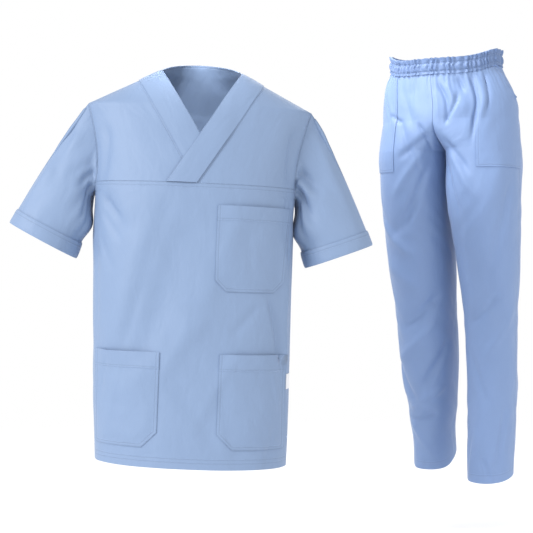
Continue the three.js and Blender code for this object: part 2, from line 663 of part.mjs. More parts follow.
// One leg's rows of points, anticlockwise seen from above: along the front from the inner seam to the side seam,
// then along the back to the inner seam again.
function legRows(side) {
  const rows = LEG_HEIGHTS.map((z) => {
    const front = legLine(z, true);
    const back = legLine(z, false);
    return [...front.reverse(), ...back.slice(1)];
  });
  const last = PANEL_COLUMNS * 2;
  const faceOut = () => {
    rows.forEach((row, j) => {
      const closed = LEG_HEIGHTS[j] <= CROTCH_Z;
      const below = rows[Math.max(j - 1, 0)];
      const above = rows[Math.min(j + 1, rows.length - 1)];
      row.forEach((v, i) => {
        const before = i > 0 ? row[i - 1] : closed ? row[last - 1] : v;
        const after = i < last ? row[i + 1] : closed ? row[1] : v;
        const around = after.point.clone().sub(before.point);
        v.normal = around.cross(above[i].point.clone().sub(below[i].point));
        if (i === 0 || i === last) v.normal.x = Math.min(v.normal.x, 0);
        v.normal.normalize();
      });
    });
  };
  faceOut();
  const set = LEG_SET[side];
  rows.forEach((row, j) => {
    const z = LEG_HEIGHTS[j];
    const full = column(set, "full", z);
    const crest = straight(LEG, "crest", z);
    row.forEach((v, i) => {
      const edge = i === 0 || i === last ? 0 : 1;
      v.point.addScaledVector(v.normal, foldHeight(LEG_FOLDS[side], v.s, z) * edge);
      v.point.x = crest + (v.point.x - crest) * full;
      v.point.y = v.point.y * full + column(set, "back", z);
    });
  });
  faceOut();
  const placed =
    side === "left"
      ? rows
      : rows.map((row) =>
          row
            .map((v) => ({
              point: new THREE.Vector3(-v.point.x, v.point.y, v.point.z),
              normal: new THREE.Vector3(-v.normal.x, v.normal.y, v.normal.z),
            }))
            .reverse(),
        );
  for (const row of placed) for (const v of row) v.point.x += waistAside(v.point.z);
  return placed;
}

// Moves a trouser point from standing straight to the pose: the waist dips in front, the right leg strides back, and
// the whole pair stands beside the tunic, turned.
const HIP_PIVOT_Z = -250;
const WAIST_DIP = 24;
// How far each hem rides up, in front and behind.
const HEM_LIFT = { left: [0, 18], right: [8, 44] };
function stand(p, side) {
  p.z -= WAIST_DIP * smoothstep(p.z, -215, -25) * smoothstep(-p.y, 15, 100);
  p.z += lerp(...HEM_LIFT[side], smoothstep(p.y, -50, 80)) * smoothstep(-p.z, 800, 1000);
  if (side === "right") {
    const a = radians(STRIDE) * smoothstep(-p.z, 200, 420);
    const down = p.z - HIP_PIVOT_Z;
    const y = p.y;
    p.y = y * Math.cos(a) - down * Math.sin(a);
    p.z = HIP_PIVOT_Z + down * Math.cos(a) + y * Math.sin(a);
  }
  const turn = radians(TROUSERS_TURN);
  p.set(
    p.x * Math.cos(turn) - p.y * Math.sin(turn) + TROUSERS_AT.x,
    p.x * Math.sin(turn) + p.y * Math.cos(turn) + TROUSERS_AT.y,
    p.z + TROUSERS_AT.z,
  );
}

const trousers = new THREE.Group();
group.add(trousers);
const addTrousers = (name, side, geometry, cloth = trouserCloth) =>
  addPiece(trousers, name, applyTo(geometry, (p) => stand(p, side)), cloth);

// Slant pockets lie on the fronts, caught in the waist and side seams, open along the slant. [x, z] corners.
const SLANT_POCKET = [
  [90, -39],
  [101, -279],
  [190, -279],
  [190, -139],
  [166, -139],
  [126, -39],
];
for (const side of ["left", "right"]) {
  const rows = legRows(side);
  const firstHalf = rows.map((row) => row.slice(0, PANEL_COLUMNS + 1));
  const secondHalf = rows.map((row) => row.slice(PANEL_COLUMNS));
  const [front, rear] = side === "left" ? [firstHalf, secondHalf] : [secondHalf, firstHalf];
  addTrousers(`trouser_front_${side}`, side, sheet(trimmed(front), -CLOTH, 0));
  addTrousers(`trouser_back_${side}`, side, sheet(trimmed(rear), -CLOTH, 0));
  const upper = front.slice(-16);
  const corners = (side === "left" ? SLANT_POCKET : mirror(SLANT_POCKET)).map(([x, z]) => [x + waistAside(z), z]);
  const patch = cutOut(sheet(trimmed(upper), SLANT_GAP, SLANT_GAP + PATCH), corners);
  addTrousers(`slant_pocket_${side}`, side, patch);
}

// The gathered elastic waistband: a plain inside, and an outside raised in uneven gathers that open into a short
// frill along the top.
const GATHERS = 56;
const WAISTBAND_ROWS = [
  { z: -BAND_HEIGHT + SEAM_GAP / 2, half: 130, deep: 100, raise: 1.5 },
  { z: -23, half: 129, deep: 99, raise: 4.2 },
  { z: -9, half: 128, deep: 98, raise: 1.8 },
  { z: 0, half: 129, deep: 99, raise: 3.6 },
];
const waistRing = WAISTBAND_ROWS.map((row) =>
  Array.from({ length: GATHERS * 3 }, (_, i) => {
    const gather = Math.floor(i / 3);
    const sway = Math.sin(gather * 2.4) * 0.25;
    const a = ((i + sway) / (GATHERS * 3)) * 2 * Math.PI;
    const height = [0, 1, 0.55][i % 3] * (1 + 0.3 * Math.sin(gather * 5.1));
    const x = row.half * curved(Math.sin(a), SECTION_POWER);
    const y = -row.deep * curved(Math.cos(a), SECTION_POWER);
    const normal = new THREE.Vector3(x / row.half ** 2, y / row.deep ** 2, 0).normalize();
    return { point: new THREE.Vector3(x + waistAside(row.z), y, row.z), normal, raise: row.raise * height };
  }),
);
addTrousers("waistband", "left", sheet(waistRing, -CLOTH, (v) => PATCH + v.raise, true), elasticCloth);

export default group;
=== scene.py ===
import math

import bpy
import numpy as np
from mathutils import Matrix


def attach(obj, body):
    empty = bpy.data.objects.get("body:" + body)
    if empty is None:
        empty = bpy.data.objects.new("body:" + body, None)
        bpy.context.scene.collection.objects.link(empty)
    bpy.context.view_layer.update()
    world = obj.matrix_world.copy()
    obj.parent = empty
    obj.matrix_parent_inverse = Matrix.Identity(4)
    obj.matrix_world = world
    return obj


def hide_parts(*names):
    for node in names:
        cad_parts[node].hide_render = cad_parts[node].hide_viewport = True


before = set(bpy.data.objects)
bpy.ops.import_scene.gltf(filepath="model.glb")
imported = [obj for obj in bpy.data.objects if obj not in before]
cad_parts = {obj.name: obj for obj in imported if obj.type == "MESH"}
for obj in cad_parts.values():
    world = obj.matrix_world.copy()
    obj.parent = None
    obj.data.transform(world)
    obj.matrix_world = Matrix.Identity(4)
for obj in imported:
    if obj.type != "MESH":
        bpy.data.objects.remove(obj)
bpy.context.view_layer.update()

# The picture's setting. A level camera looks along +Y from far off with a long lens, at a height between the
# chest and the knees, under an even white studio sky. Lengths in this file are millimetres.
MM = 0.001
CAMERA_AT = (133, -2600, -388)
LENS_MM = 87.8
SENSOR_MM = 36.0

camera_data = bpy.data.cameras.new("picture_camera")
camera_data.sensor_width = SENSOR_MM
camera_data.sensor_height = SENSOR_MM
camera_data.lens = LENS_MM
camera = bpy.data.objects.new("picture_camera", camera_data)
camera.location = [c * MM for c in CAMERA_AT]
camera.rotation_euler = (math.pi / 2, 0, 0)
bpy.context.scene.collection.objects.link(camera)
bpy.context.scene.camera = camera


def studio_sky(color, strength):
    world = bpy.data.worlds.new("studio_sky")
    world.use_nodes = True
    background = world.node_tree.nodes["Background"]
    background.inputs["Color"].default_value = (*color, 1)
    background.inputs["Strength"].default_value = strength
    bpy.context.scene.world = world
    bpy.context.scene.view_settings.view_transform = "Standard"


def soft_box(name, at, toward, size, watts, spread=180):
    light = bpy.data.lights.new(name, "AREA")
    light.shape = "SQUARE"
    light.size = size
    light.energy = watts
    light.spread = math.radians(spread)
    lamp = bpy.data.objects.new(name, light)
    lamp.location = at
    direction = np.subtract(toward, at)
    yaw = math.atan2(direction[1], direction[0])
    pitch = math.atan2(direction[2], math.hypot(direction[0], direction[1]))
    lamp.rotation_euler = (math.pi / 2 + pitch, 0, yaw - math.pi / 2)
    bpy.context.scene.collection.objects.link(lamp)


studio_sky(color=(1, 1, 1), strength=1.0)
soft_box("key_light", at=(-3.2, -2.7, 1.4), toward=(0.2, 0.2, -0.2), size=1.5, watts=150)
soft_box("fill_light", at=(3.4, -2.6, 0.7), toward=(0.3, 0.3, -0.3), size=2, watts=26)
soft_box("trouser_light", at=(0.0, 0.25, 0.8), toward=(0.6, 0.45, -0.15), size=0.4, watts=1.7, spread=60)
soft_box("neck_light", at=(-0.02, -0.42, 0.52), toward=(-0.02, 0.09, -0.05), size=0.12, watts=0.2, spread=24)
soft_box("back_light", at=(0.6, 3.2, 1.6), toward=(0.3, 0.3, -0.4), size=2.2, watts=30)

# The floor is bare and pale, like a studio's paper sweep. It fades out evenly all round, so that it meets the
# white of the studio softly.
FLOOR_Z = -1030
FLOOR_RADIUS = 2600
FLOOR_FADE_FROM = 0.35


def pale_floor_material():
    material = bpy.data.materials.new("pale_floor")
    material.use_nodes = True
    nodes, links = material.node_tree.nodes, material.node_tree.links
    shader = nodes["Principled BSDF"]
    shader.inputs["Base Color"].default_value = (0.93, 0.93, 0.935, 1)
    shader.inputs["Roughness"].default_value = 0.9
    place = nodes.new("ShaderNodeTexCoord")
    distance = nodes.new("ShaderNodeVectorMath")
    distance.operation = "LENGTH"
    fade = nodes.new("ShaderNodeMapRange")
    fade.inputs["From Min"].default_value = FLOOR_RADIUS * MM * FLOOR_FADE_FROM
    fade.inputs["From Max"].default_value = FLOOR_RADIUS * MM * 0.98
    fade.inputs["To Min"].default_value = 1
    fade.inputs["To Max"].default_value = 0
    links.new(place.outputs["Object"], distance.inputs[0])
    links.new(distance.outputs["Value"], fade.inputs["Value"])
    links.new(fade.outputs["Result"], shader.inputs["Alpha"])
    return material


bpy.ops.mesh.primitive_circle_add(
    vertices=96, radius=FLOOR_RADIUS * MM, fill_type="NGON", location=(0.3, 0.25, FLOOR_Z * MM)
)
floor = bpy.context.object
floor.name = "studio_floor"
floor.data.materials.append(pale_floor_material())

# The tunic's front, below the chest seam. It is one piece of light blue poplin that hangs as a rounded column
# from the chest, sewn to the yokes along the chest seam with two rows of topstitching, and turned up twice at
# the hem.
CLOTH = 1.3
SEAM_GAP = 0.4
HEM_Z = -775
CHEST_SEAM_Z = -228
UNDERARM_Z = -250
SHOULDER_TIP_Z = -73
BACK_NECK_Z = 25
NECK_HALF = 80
SHOULDER_HALF = 224
ARMHOLE_SCOOP = 14
SEAM_AHEAD = 8
STEP = 4.5
TUNIC_BLUE = (0.19, 0.272, 0.43)

# The body's sections: half is the half width, front and back the depths from the side seams, square how boxy
# the section is, aside how far it hangs towards the wearer's left, and turn how far it turns.
TORSO = {
    "z": [-775, -640, -480, -350, -250, -170, -110, -73],
    "half": [191, 195, 196.5, 199, 200.5, 205, 216, 224],
    "front": [128, 127, 125, 126, 125, 114, 96, 84],
    "back": [124, 120, 116, 118, 124, 126, 120, 111],
    "square": [2.2, 2.25, 2.3, 2.3, 2.25, 2.15, 2.05, 2],
    "aside": [11, 7, 3, 0, 0, 2, 4, 4],
    "turn": [-1.5, 0.2, 2.5, 3.4, 3.9, 4, 4, 4],
}
SHOULDERS = {"z": [-73, -35, 0, 20], "front": [84, 64, 45, 40], "back": [111, 96, 82, 74]}
ROLL = math.radians(2.2)
TORSO_GIRTH = 1050

# Folds run straight from (s, z) to (s2, z2) and rise or sink by depth. s goes round from the middle of the
# front, towards the wearer's left. The soft ones are the solids' own, and the creases are the finer ones.
SOFT_FOLDS = [
    # s, z, s2, z2, wide, depth
    (-60, -300, -150, -560, 26, 5), (0, -280, -85, -600, 24, -5), (60, -300, -20, -560, 24, 4.5),
    (-185, -255, -110, -330, 18, -5), (-120, -640, -30, -560, 22, 3), (30, -640, 110, -770, 28, -4),
    (170, -320, 205, -620, 16, 6), (135, -440, 190, -600, 11, -6), (178, -110, 186, -225, 15, -7),
    (-170, -120, -182, -225, 15, -5), (330, -260, 400, -620, 30, 5), (-340, -300, -420, -640, 30, 5),
    (460, -330, 500, -700, 32, -5), (300, -180, 250, -300, 20, -5), (-300, -180, -250, -300, 20, -5),
]
TUNIC_CREASES = [
    (-178, -262, -128, -300, 7, -3.5), (-186, -285, -120, -345, 8, -3), (-190, -330, -140, -400, 9, -2.5),
    (-30, -250, -75, -420, 13, -2.5), (-75, -420, -110, -545, 10, -2.5), (10, -480, -40, -620, 12, 2.5),
    (-15, -620, 40, -730, 12, -2.5), (60, -560, 10, -700, 10, 2), (125, -445, 165, -545, 6, 3),
    (150, -590, 182, -660, 6, 3), (110, -460, 60, -520, 9, -2), (-150, -560, -175, -640, 8, -2.5),
    (-120, -590, -150, -700, 9, 2), (185, -235, 168, -330, 7, -3), (196, -240, 196, -360, 8, -3),
    (208, -330, 196, -470, 10, 2.5), (-205, -330, -200, -520, 12, -2), (-210, -560, -190, -700, 12, 2),
    (60, -745, 40, -640, 8, 1.5), (-60, -770, -45, -660, 10, -1.5), (150, -770, 165, -690, 9, -2),
    (280, -250, 330, -420, 12, -3), (-280, -250, -340, -420, 12, -3), (420, -300, 380, -520, 14, 2.5),
    (-430, -280, -400, -500, 14, 2.5), (500, -350, 470, -560, 14, -2.5), (-480, -560, -510, -740, 14, -2.5),
    (360, -600, 400, -760, 14, -2.5), (450, -120, 380, -200, 14, -2), (-450, -120, -380, -200, 14, -2),
]


def column(table, key, z):
    """The smooth curve through a table's column, at heights z."""
    zs = np.array(table["z"], float)
    values = np.array(table[key], float)
    slopes = np.empty_like(values)
    slopes[1:-1] = (values[2:] - values[:-2]) / (zs[2:] - zs[:-2])
    slopes[0] = (values[1] - values[0]) / (zs[1] - zs[0])
    slopes[-1] = (values[-1] - values[-2]) / (zs[-1] - zs[-2])
    z = np.clip(z, zs[0], zs[-1])
    i = np.clip(np.searchsorted(zs, z) - 1, 0, len(zs) - 2)
    span = zs[i + 1] - zs[i]
    t = (z - zs[i]) / span
    return (
        values[i] * (2 * t**3 - 3 * t**2 + 1)
        + slopes[i] * span * (t**3 - 2 * t**2 + t)
        + values[i + 1] * (3 * t**2 - 2 * t**3)
        + slopes[i + 1] * span * (t**3 - t**2)
    )


def smoothstep(x, low, high):
    t = np.clip((np.asarray(x, float) - low) / (high - low), 0, 1)
    return t * t * (3 - 2 * t)


def fold_height(folds, s, z):
    height = np.zeros(np.broadcast(s, z).shape)
    for s1, z1, s2, z2, wide, depth in folds:
        ds, dz = s2 - s1, z2 - z1
        length = math.hypot(ds, dz)
        along = ((s - s1) * ds + (z - z1) * dz) / length**2
        across = ((s - s1) * dz - (z - z1) * ds) / length
        ends = smoothstep(along, -0.12, 0.22) * (1 - smoothstep(along, 0.72, 1.12))
        height += depth * ends * np.exp(-((across / wide) ** 2))
    return height


def rumple(s, z, size, height, seed=0):
    """Slight, even unevenness of worn cloth: crossing waves about size apart that bend into each other."""
    p, q = s / size, z / size
    bend = np.sin(p * 1.7 + seed) + np.sin(q * 1.3 + 2.1 * seed)
    wave = np.sin(2.9 * p + 1.1 * bend + seed) * np.sin(2.3 * q + 1.3 * bend)
    return height * (wave + 0.5 * np.sin(5.1 * p + 3.7 * q + 1.7 * bend))


def curved(value, power):
    return np.sign(value) * np.abs(value) ** power


def torso_size(z):
    z = np.asarray(z, float)
    above = z > SHOULDER_TIP_Z
    slope = (SHOULDER_HALF - NECK_HALF) / -SHOULDER_TIP_Z
    rise = NECK_HALF - slope * z * np.where(z > 0, 0.5, 1)
    half = np.where(above, rise, column(TORSO, "half", z))
    front = np.where(above, column(SHOULDERS, "front", z), column(TORSO, "front", z))
    back = np.where(above, column(SHOULDERS, "back", z), column(TORSO, "back", z))
    power = np.where(above, 1.0, 2 / column(TORSO, "square", z))
    return half, front, back, power


def torso(angle, z):
    """Points of the tunic's outer face. Angle is in degrees from mid front, to the wearer's left."""
    half, front, back, power = torso_size(z)
    a = np.radians(angle)
    across = curved(np.sin(a), power) * half
    ahead = curved(np.cos(a), power)
    deep = -ahead * np.where(ahead > 0, front, back)
    s = ((np.asarray(angle) + 540) % 360 - 180) / 360 * TORSO_GIRTH
    other = np.where(s > 0, s - TORSO_GIRTH, s + TORSO_GIRTH)
    all_folds = SOFT_FOLDS + TUNIC_CREASES
    folds = fold_height(all_folds, s, z) + fold_height(all_folds, other, z)
    folds = folds + rumple(s, z, 62, 0.55) * smoothstep(-z, 0, 90)
    push = 1 + folds / np.hypot(across, deep)
    return np.stack([across * push, deep * push, z + 0 * across], axis=-1)


def hang(points):
    """Moves the straight, even tunic to where it hangs in the pose."""
    x, y, z = points[..., 0], points[..., 1], points[..., 2]
    turn = np.radians(column(TORSO, "turn", z))
    across = x * np.cos(turn) - y * np.sin(turn) + column(TORSO, "aside", z)
    deep = x * np.sin(turn) + y * np.cos(turn)
    cos, sin = math.cos(ROLL), math.sin(ROLL)
    return np.stack([across * cos + z * sin, deep, z * cos - across * sin], axis=-1)


def face_out(points, ring=False):
    """Outward normals of a grid whose rows run anticlockwise seen from above, and upwards."""
    if ring:
        around = np.roll(points, -1, axis=1) - np.roll(points, 1, axis=1)
    else:
        around = np.gradient(points, axis=1)
    normals = np.cross(around, np.gradient(points, axis=0))
    return normals / np.maximum(np.linalg.norm(normals, axis=-1, keepdims=True), 1e-9)


def sewn_piece(name, outer, inner, material, uv, marks=None, ring=False):
    """A closed wall between two grids of points in millimetres, with its flat pattern as UVs in metres.
    Marks are distances in millimetres from an edge, kept at each point for the stitching."""
    rows, cols = outer.shape[:2]
    verts = np.concatenate([outer.reshape(-1, 3), inner.reshape(-1, 3)]) * MM
    index = np.arange(rows * cols).reshape(rows, cols)
    across = np.arange(cols if ring else cols - 1)
    after = (across + 1) % cols
    low, high = index[:-1], index[1:]
    face = np.stack([low[:, across], low[:, after], high[:, after], high[:, across]], axis=-1)
    face = face.reshape(-1, 4)
    other = rows * cols

    def rim_between(start, end):
        return np.stack([start, end, end + other, start + other], axis=-1)

    other_way = [0, 3, 2, 1]
    quads = [face, face[:, ::-1] + other]
    quads.append(rim_between(index[0, across], index[0, after])[:, other_way])
    quads.append(rim_between(index[-1, across], index[-1, after]))
    if not ring:
        quads.append(rim_between(index[:-1, 0], index[1:, 0]))
        quads.append(rim_between(index[:-1, -1], index[1:, -1])[:, other_way])
    quads = np.concatenate(quads)
    mesh = bpy.data.meshes.new(name)
    mesh.vertices.add(len(verts))
    mesh.vertices.foreach_set("co", verts.ravel())
    mesh.loops.add(quads.size)
    mesh.loops.foreach_set("vertex_index", quads.ravel())
    mesh.polygons.add(len(quads))
    mesh.polygons.foreach_set("loop_start", np.arange(0, quads.size, 4))
    mesh.polygons.foreach_set("use_smooth", np.ones(len(quads), bool))
    mesh.update(calc_edges=True)
    flat = (np.concatenate([uv.reshape(-1, 2)] * 2) * MM)[quads]
    if ring:
        # where a ring closes, the pattern runs on to its full width instead of jumping back to nought
        in_column = quads % other % cols
        closing = (in_column.max(axis=1) == cols - 1) & (in_column.min(axis=1) == 0)
        girth = (2 * uv[:, -1, 0] - uv[:, -2, 0]) * MM
        flat[..., 0] += np.where(closing[:, None] & (in_column == 0), girth[quads % other // cols], 0)
    mesh.uv_layers.new(name="pattern").data.foreach_set("uv", flat.ravel())
    for mark, values in (marks or {}).items():
        layer = mesh.attributes.new(mark, "FLOAT", "POINT")
        layer.data.foreach_set("value", np.concatenate([np.broadcast_to(values, (rows, cols)).ravel()] * 2))
    rim = mesh.attributes.new("sharp_edge", "BOOLEAN", "EDGE")
    ends = np.empty(len(mesh.edges) * 2, int)
    mesh.edges.foreach_get("vertices", ends)
    ends = ends.reshape(-1, 2)
    row, col = (ends % other) // cols, (ends % other) % cols
    on_rim = (row == 0).all(1) | (row == rows - 1).all(1)
    if not ring:
        on_rim |= (col == 0).all(1) | (col == cols - 1).all(1)
    rim.data.foreach_set("value", on_rim)
    mesh.materials.append(material)
    piece = bpy.data.objects.new(name, mesh)
    bpy.context.scene.collection.objects.link(piece)
    return piece


def wall(points, normals, low, high):
    low, high = np.asarray(low, float), np.asarray(high, float)
    low = low[..., None] if low.ndim else low
    high = high[..., None] if high.ndim else high
    return points + normals * high, points + normals * low


def hung_wall(points, low, high):
    """The outer and inner face, from low to high off the points, once the tunic hangs in its pose."""
    hung = hang(points)
    return wall(hung, face_out(hung), low, high)


def pattern_of(points, ring=False):
    """The flat pattern of a grid: millimetres along each row from its middle, and up each column."""
    steps = np.linalg.norm(np.diff(points, axis=1), axis=-1)
    along = np.concatenate([np.zeros((len(points), 1)), np.cumsum(steps, axis=1)], axis=1)
    rises = np.linalg.norm(np.diff(points, axis=0), axis=-1)
    up = np.concatenate([np.zeros((1, points.shape[1])), np.cumsum(rises, axis=0)])
    middle = 0 if ring else along[:, -1:] / 2
    return np.stack([along - middle, up], axis=-1)


def trim(points):
    """Draws the border of a grid in by half a seam gap, so that sewn pieces don't touch."""
    trimmed = points.copy()
    half_gap = SEAM_GAP / 2
    for edge, inside in ((np.s_[0, :], np.s_[1, :]), (np.s_[-1, :], np.s_[-2, :]),
                         (np.s_[:, 0], np.s_[:, 1]), (np.s_[:, -1], np.s_[:, -2])):
        step = points[inside] - points[edge]
        length = np.maximum(np.linalg.norm(step, axis=-1, keepdims=True), 1e-9)
        trimmed[edge] += step / length * half_gap
    return trimmed


def seam_angles(z):
    """Where the front and the back end at each height: side seam, armhole or shoulder seam, in degrees."""
    z = np.asarray(z, float)
    share = np.clip((z - UNDERARM_Z) / (SHOULDER_TIP_Z - UNDERARM_Z), 0, 1)
    scoop = np.abs(np.sin(np.pi * np.sqrt(share))) ** 0.65
    share_ahead = np.where(z > SHOULDER_TIP_Z, np.clip(z / SHOULDER_TIP_Z, 0, 1), share)
    side_seam = 90 - SEAM_AHEAD * share_ahead
    scoop = np.where((z > UNDERARM_Z) & (z < SHOULDER_TIP_Z), scoop, 0) * ARMHOLE_SCOOP
    return side_seam - scoop, side_seam + scoop


def heights(low, high, step=STEP):
    return np.linspace(low, high, max(int(round((high - low) / step)), 2) + 1)


WEAVE = 0.00045
STITCH_LENGTH = 0.003
STITCH_SHARE = 0.72
THREAD_HALF = 0.7
# how much lighter the stitch thread is painted: partly the thread's own paler colour, partly a painted highlight
# on the raised stitches
THREAD_TONE_AND_HIGHLIGHT = 1.13
GROOVE_BESIDE = 1.6
GROOVE_HALF = 1.8
# how much darker the groove beside the stitches is painted: painted shade for the shadow in the groove
GROOVE_PAINTED_SHADE = 0.11
GROOVE_DEPTH = 0.0008
PUCKER_HEIGHT = 0.0011
WRINKLE_HEIGHT = 0.0022


def poplin(name, blue, rows_of_stitches=()):
    """Plain-woven cotton poplin. Each row of stitches is (mark, mm from that edge, which way it runs)."""
    material = bpy.data.materials.new(name)
    material.use_nodes = True
    nodes, links = material.node_tree.nodes, material.node_tree.links
    shader = nodes["Principled BSDF"]

    def put(socket, value):
        if isinstance(value, bpy.types.NodeSocket):
            links.new(value, socket)
        else:
            socket.default_value = value

    def node_with(kind, **inputs):
        node = nodes.new(f"ShaderNode{kind}")
        for key, value in inputs.items():
            put(node.inputs[key.replace("_", " ")], value)
        return node

    def maths(operation, *values):
        node = nodes.new("ShaderNodeMath")
        node.operation = operation
        for socket, value in zip(node.inputs, values):
            put(socket, value)
        return node.outputs[0]

    pattern = nodes.new("ShaderNodeUVMap")
    pattern.uv_map = "pattern"
    flat = pattern.outputs["UV"]

    def noise(scale, turn=0, **inputs):
        place = node_with("Mapping", Vector=flat, Scale=scale, Rotation=(0, 0, turn))
        return node_with("TexNoise", Vector=place.outputs[0], Scale=1, **inputs).outputs["Fac"]

    separate = node_with("SeparateXYZ", Vector=flat)
    across, up = separate.outputs["X"], separate.outputs["Y"]
    warp, weft = [maths("SINE", maths("MULTIPLY", along, 2 * math.pi / WEAVE)) for along in (across, up)]
    threads = maths("MULTIPLY", warp, weft)
    cloud = noise((14, 14, 1), Detail=3)
    slub = noise((900, 60, 1), Detail=2)
    wrinkle = noise((34, 15, 1), turn=0.35, Detail=2.5, Roughness=0.45, Distortion=0.6)

    # rows of stitches: a dashed thread beside a shallow groove; the groove's shade is painted darker into the
    # colour
    stitched, groove = None, None
    for mark, distance, runs in rows_of_stitches:
        edge = nodes.new("ShaderNodeAttribute")
        edge.attribute_name = mark
        from_row = maths("SUBTRACT", edge.outputs["Fac"], distance)
        line = maths("LESS_THAN", maths("ABSOLUTE", from_row), THREAD_HALF)
        along = across if runs == "across" else up
        dash = maths("LESS_THAN", maths("FRACT", maths("MULTIPLY", along, 1 / STITCH_LENGTH)), STITCH_SHARE)
        sewn = maths("MULTIPLY", line, dash)
        beside = maths("ABSOLUTE", maths("ADD", from_row, GROOVE_BESIDE))
        dip = node_with("MapRange", Value=beside, From_Max=GROOVE_HALF, To_Min=1, To_Max=0)
        dip = dip.outputs["Result"]
        stitched = sewn if stitched is None else maths("MAXIMUM", stitched, sewn)
        groove = dip if groove is None else maths("MAXIMUM", groove, dip)

    shade = maths("ADD", maths("MULTIPLY", cloud, 0.05), 0.975)
    shade = maths("MULTIPLY", shade, maths("ADD", maths("MULTIPLY", slub, 0.06), 0.97))
    relief = maths("MULTIPLY", wrinkle, WRINKLE_HEIGHT)
    relief = maths("ADD", relief, maths("MULTIPLY", threads, 0.000012))
    relief = maths("ADD", relief, maths("MULTIPLY", slub, 0.00004))
    if groove is not None:
        # painted shade: the colour is darkened along the groove beside each row of stitches
        shade = maths("MULTIPLY", shade, maths("SUBTRACT", 1, maths("MULTIPLY", groove, GROOVE_PAINTED_SHADE)))
        # the stitches are painted lighter, partly as the thread's own colour and partly as a painted highlight
        shade = maths("MULTIPLY", shade, maths("ADD", 1, maths("MULTIPLY", stitched, THREAD_TONE_AND_HIGHLIGHT - 1)))
        # the cloth puckers a little along the groove
        pucker = maths("MULTIPLY", noise((160, 160, 1), Detail=2), PUCKER_HEIGHT)
        relief = maths("SUBTRACT", relief, maths("MULTIPLY", groove, GROOVE_DEPTH))
        relief = maths("ADD", relief, maths("MULTIPLY", groove, pucker))
        relief = maths("ADD", relief, maths("MULTIPLY", stitched, 0.0002))

    dye = nodes.new("ShaderNodeVectorMath")
    dye.operation = "SCALE"
    put(dye.inputs[0], blue)
    put(dye.inputs["Scale"], shade)
    bump = node_with("Bump", Height=relief, Distance=1, Strength=0.9)
    put(shader.inputs["Base Color"], dye.outputs["Vector"])
    put(shader.inputs["Normal"], bump.outputs["Normal"])
    put(shader.inputs["Roughness"], 0.6)
    put(shader.inputs["Specular IOR Level"], 0.6)
    put(shader.inputs["Sheen Weight"], 0.12)
    put(shader.inputs["Sheen Roughness"], 0.4)
    return material


def tunic_grid(levels, span, step=STEP):
    """Rows of tunic points at the given levels, between the angles that span gives for each."""
    levels = np.asarray(levels, float)
    start, end = span(levels)
    count = max(int(np.max(np.abs(end - start)) / 360 * TORSO_GIRTH / step), 2)
    share = np.linspace(0, 1, count + 1)[None, :]
    angles = start[:, None] * (1 - share) + end[:, None] * share
    return torso(angles, levels[:, None] + 0 * angles), angles


def across_front(z):
    front = seam_angles(z)[0]
    return -front, front


front_points = trim(tunic_grid(heights(HEM_Z, CHEST_SEAM_Z), across_front)[0])
HEM_STITCHES = [("from_hem", 14, "across"), ("from_hem", 21, "across")]
front_cloth = poplin(
    "front_poplin", TUNIC_BLUE, HEM_STITCHES + [("from_chest", 3, "across"), ("from_chest", 9, "across")]
)
tunic_front = sewn_piece(
    "front_panel",
    *hung_wall(front_points, -CLOTH, 0),
    front_cloth,
    pattern_of(front_points),
    {"from_hem": front_points[..., 2] - HEM_Z, "from_chest": CHEST_SEAM_Z - front_points[..., 2]},
)
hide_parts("tunic_front")
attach(tunic_front, "root")

# The tunic's back is one piece of the same poplin, from side seam to side seam and hem to neck. It is sewn to the
# front down the sides and to the yokes along the shoulders, and its inside shows through the neck.
def across_back(z):
    back = seam_angles(z)[1]
    return back, 360 - back


back_points, back_angles = tunic_grid(heights(HEM_Z, 0), across_back)
neck_share = np.linspace(0, 1, back_angles.shape[1])
neck_rise = BACK_NECK_Z * np.sin(np.pi * np.clip(neck_share, 0.03, 0.97)) ** 0.7
collar_rows = [torso(back_angles[-1], neck_rise * share) for share in (0.25, 0.5, 0.75, 1)]
back_points = trim(np.concatenate([back_points, np.array(collar_rows)]))
back_cloth = poplin("back_poplin", TUNIC_BLUE, HEM_STITCHES + [("from_neck", 6, "across")])
tunic_back = sewn_piece(
    "back_panel",
    *hung_wall(back_points, -CLOTH, 0),
    back_cloth,
    pattern_of(back_points),
    {"from_hem": back_points[..., 2] - HEM_Z, "from_neck": neck_rise - back_points[..., 2]},
)
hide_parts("tunic_back")
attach(tunic_back, "root")

# The yokes are the two upper fronts, from the chest seam to the shoulder seams. Each is cut away along the V
# neck, where its edge is caught under a neck band.
NECK_SLOPE = 1.65
V_POINT_Z = -132
BAND_EDGE_Z = -228
BAND_TUCK = 8
BAND_WIDTH = (V_POINT_Z - BAND_EDGE_Z) / NECK_SLOPE


def front_angle(x, z):
    """The angle at which the tunic's front passes x, at height z."""
    half, _, _, power = torso_size(z)
    angle = np.degrees(np.arcsin(np.clip(curved(x / half, 1 / power), -1, 1)))
    for _ in range(4):
        short = x - torso(angle, z)[..., 0]
        share = short / half + curved(np.sin(np.radians(angle)), power)
        angle = np.degrees(np.arcsin(np.clip(curved(share, 1 / power), -1, 1)))
    return angle


def line_top(x_at, low=CHEST_SEAM_Z, high=0.0):
    """How high a line x_at(z) climbs before it meets the shoulder seam."""
    for _ in range(40):
        middle = (low + high) / 2
        half = torso_size(middle)[0]
        seam = half * math.sin(math.radians(float(seam_angles(middle)[0])))
        if x_at(middle) < seam:
            low = middle
        else:
            high = middle
    return low


def yoke_inner(z):
    return np.maximum(1.0, (z - BAND_EDGE_Z) / NECK_SLOPE - BAND_TUCK)


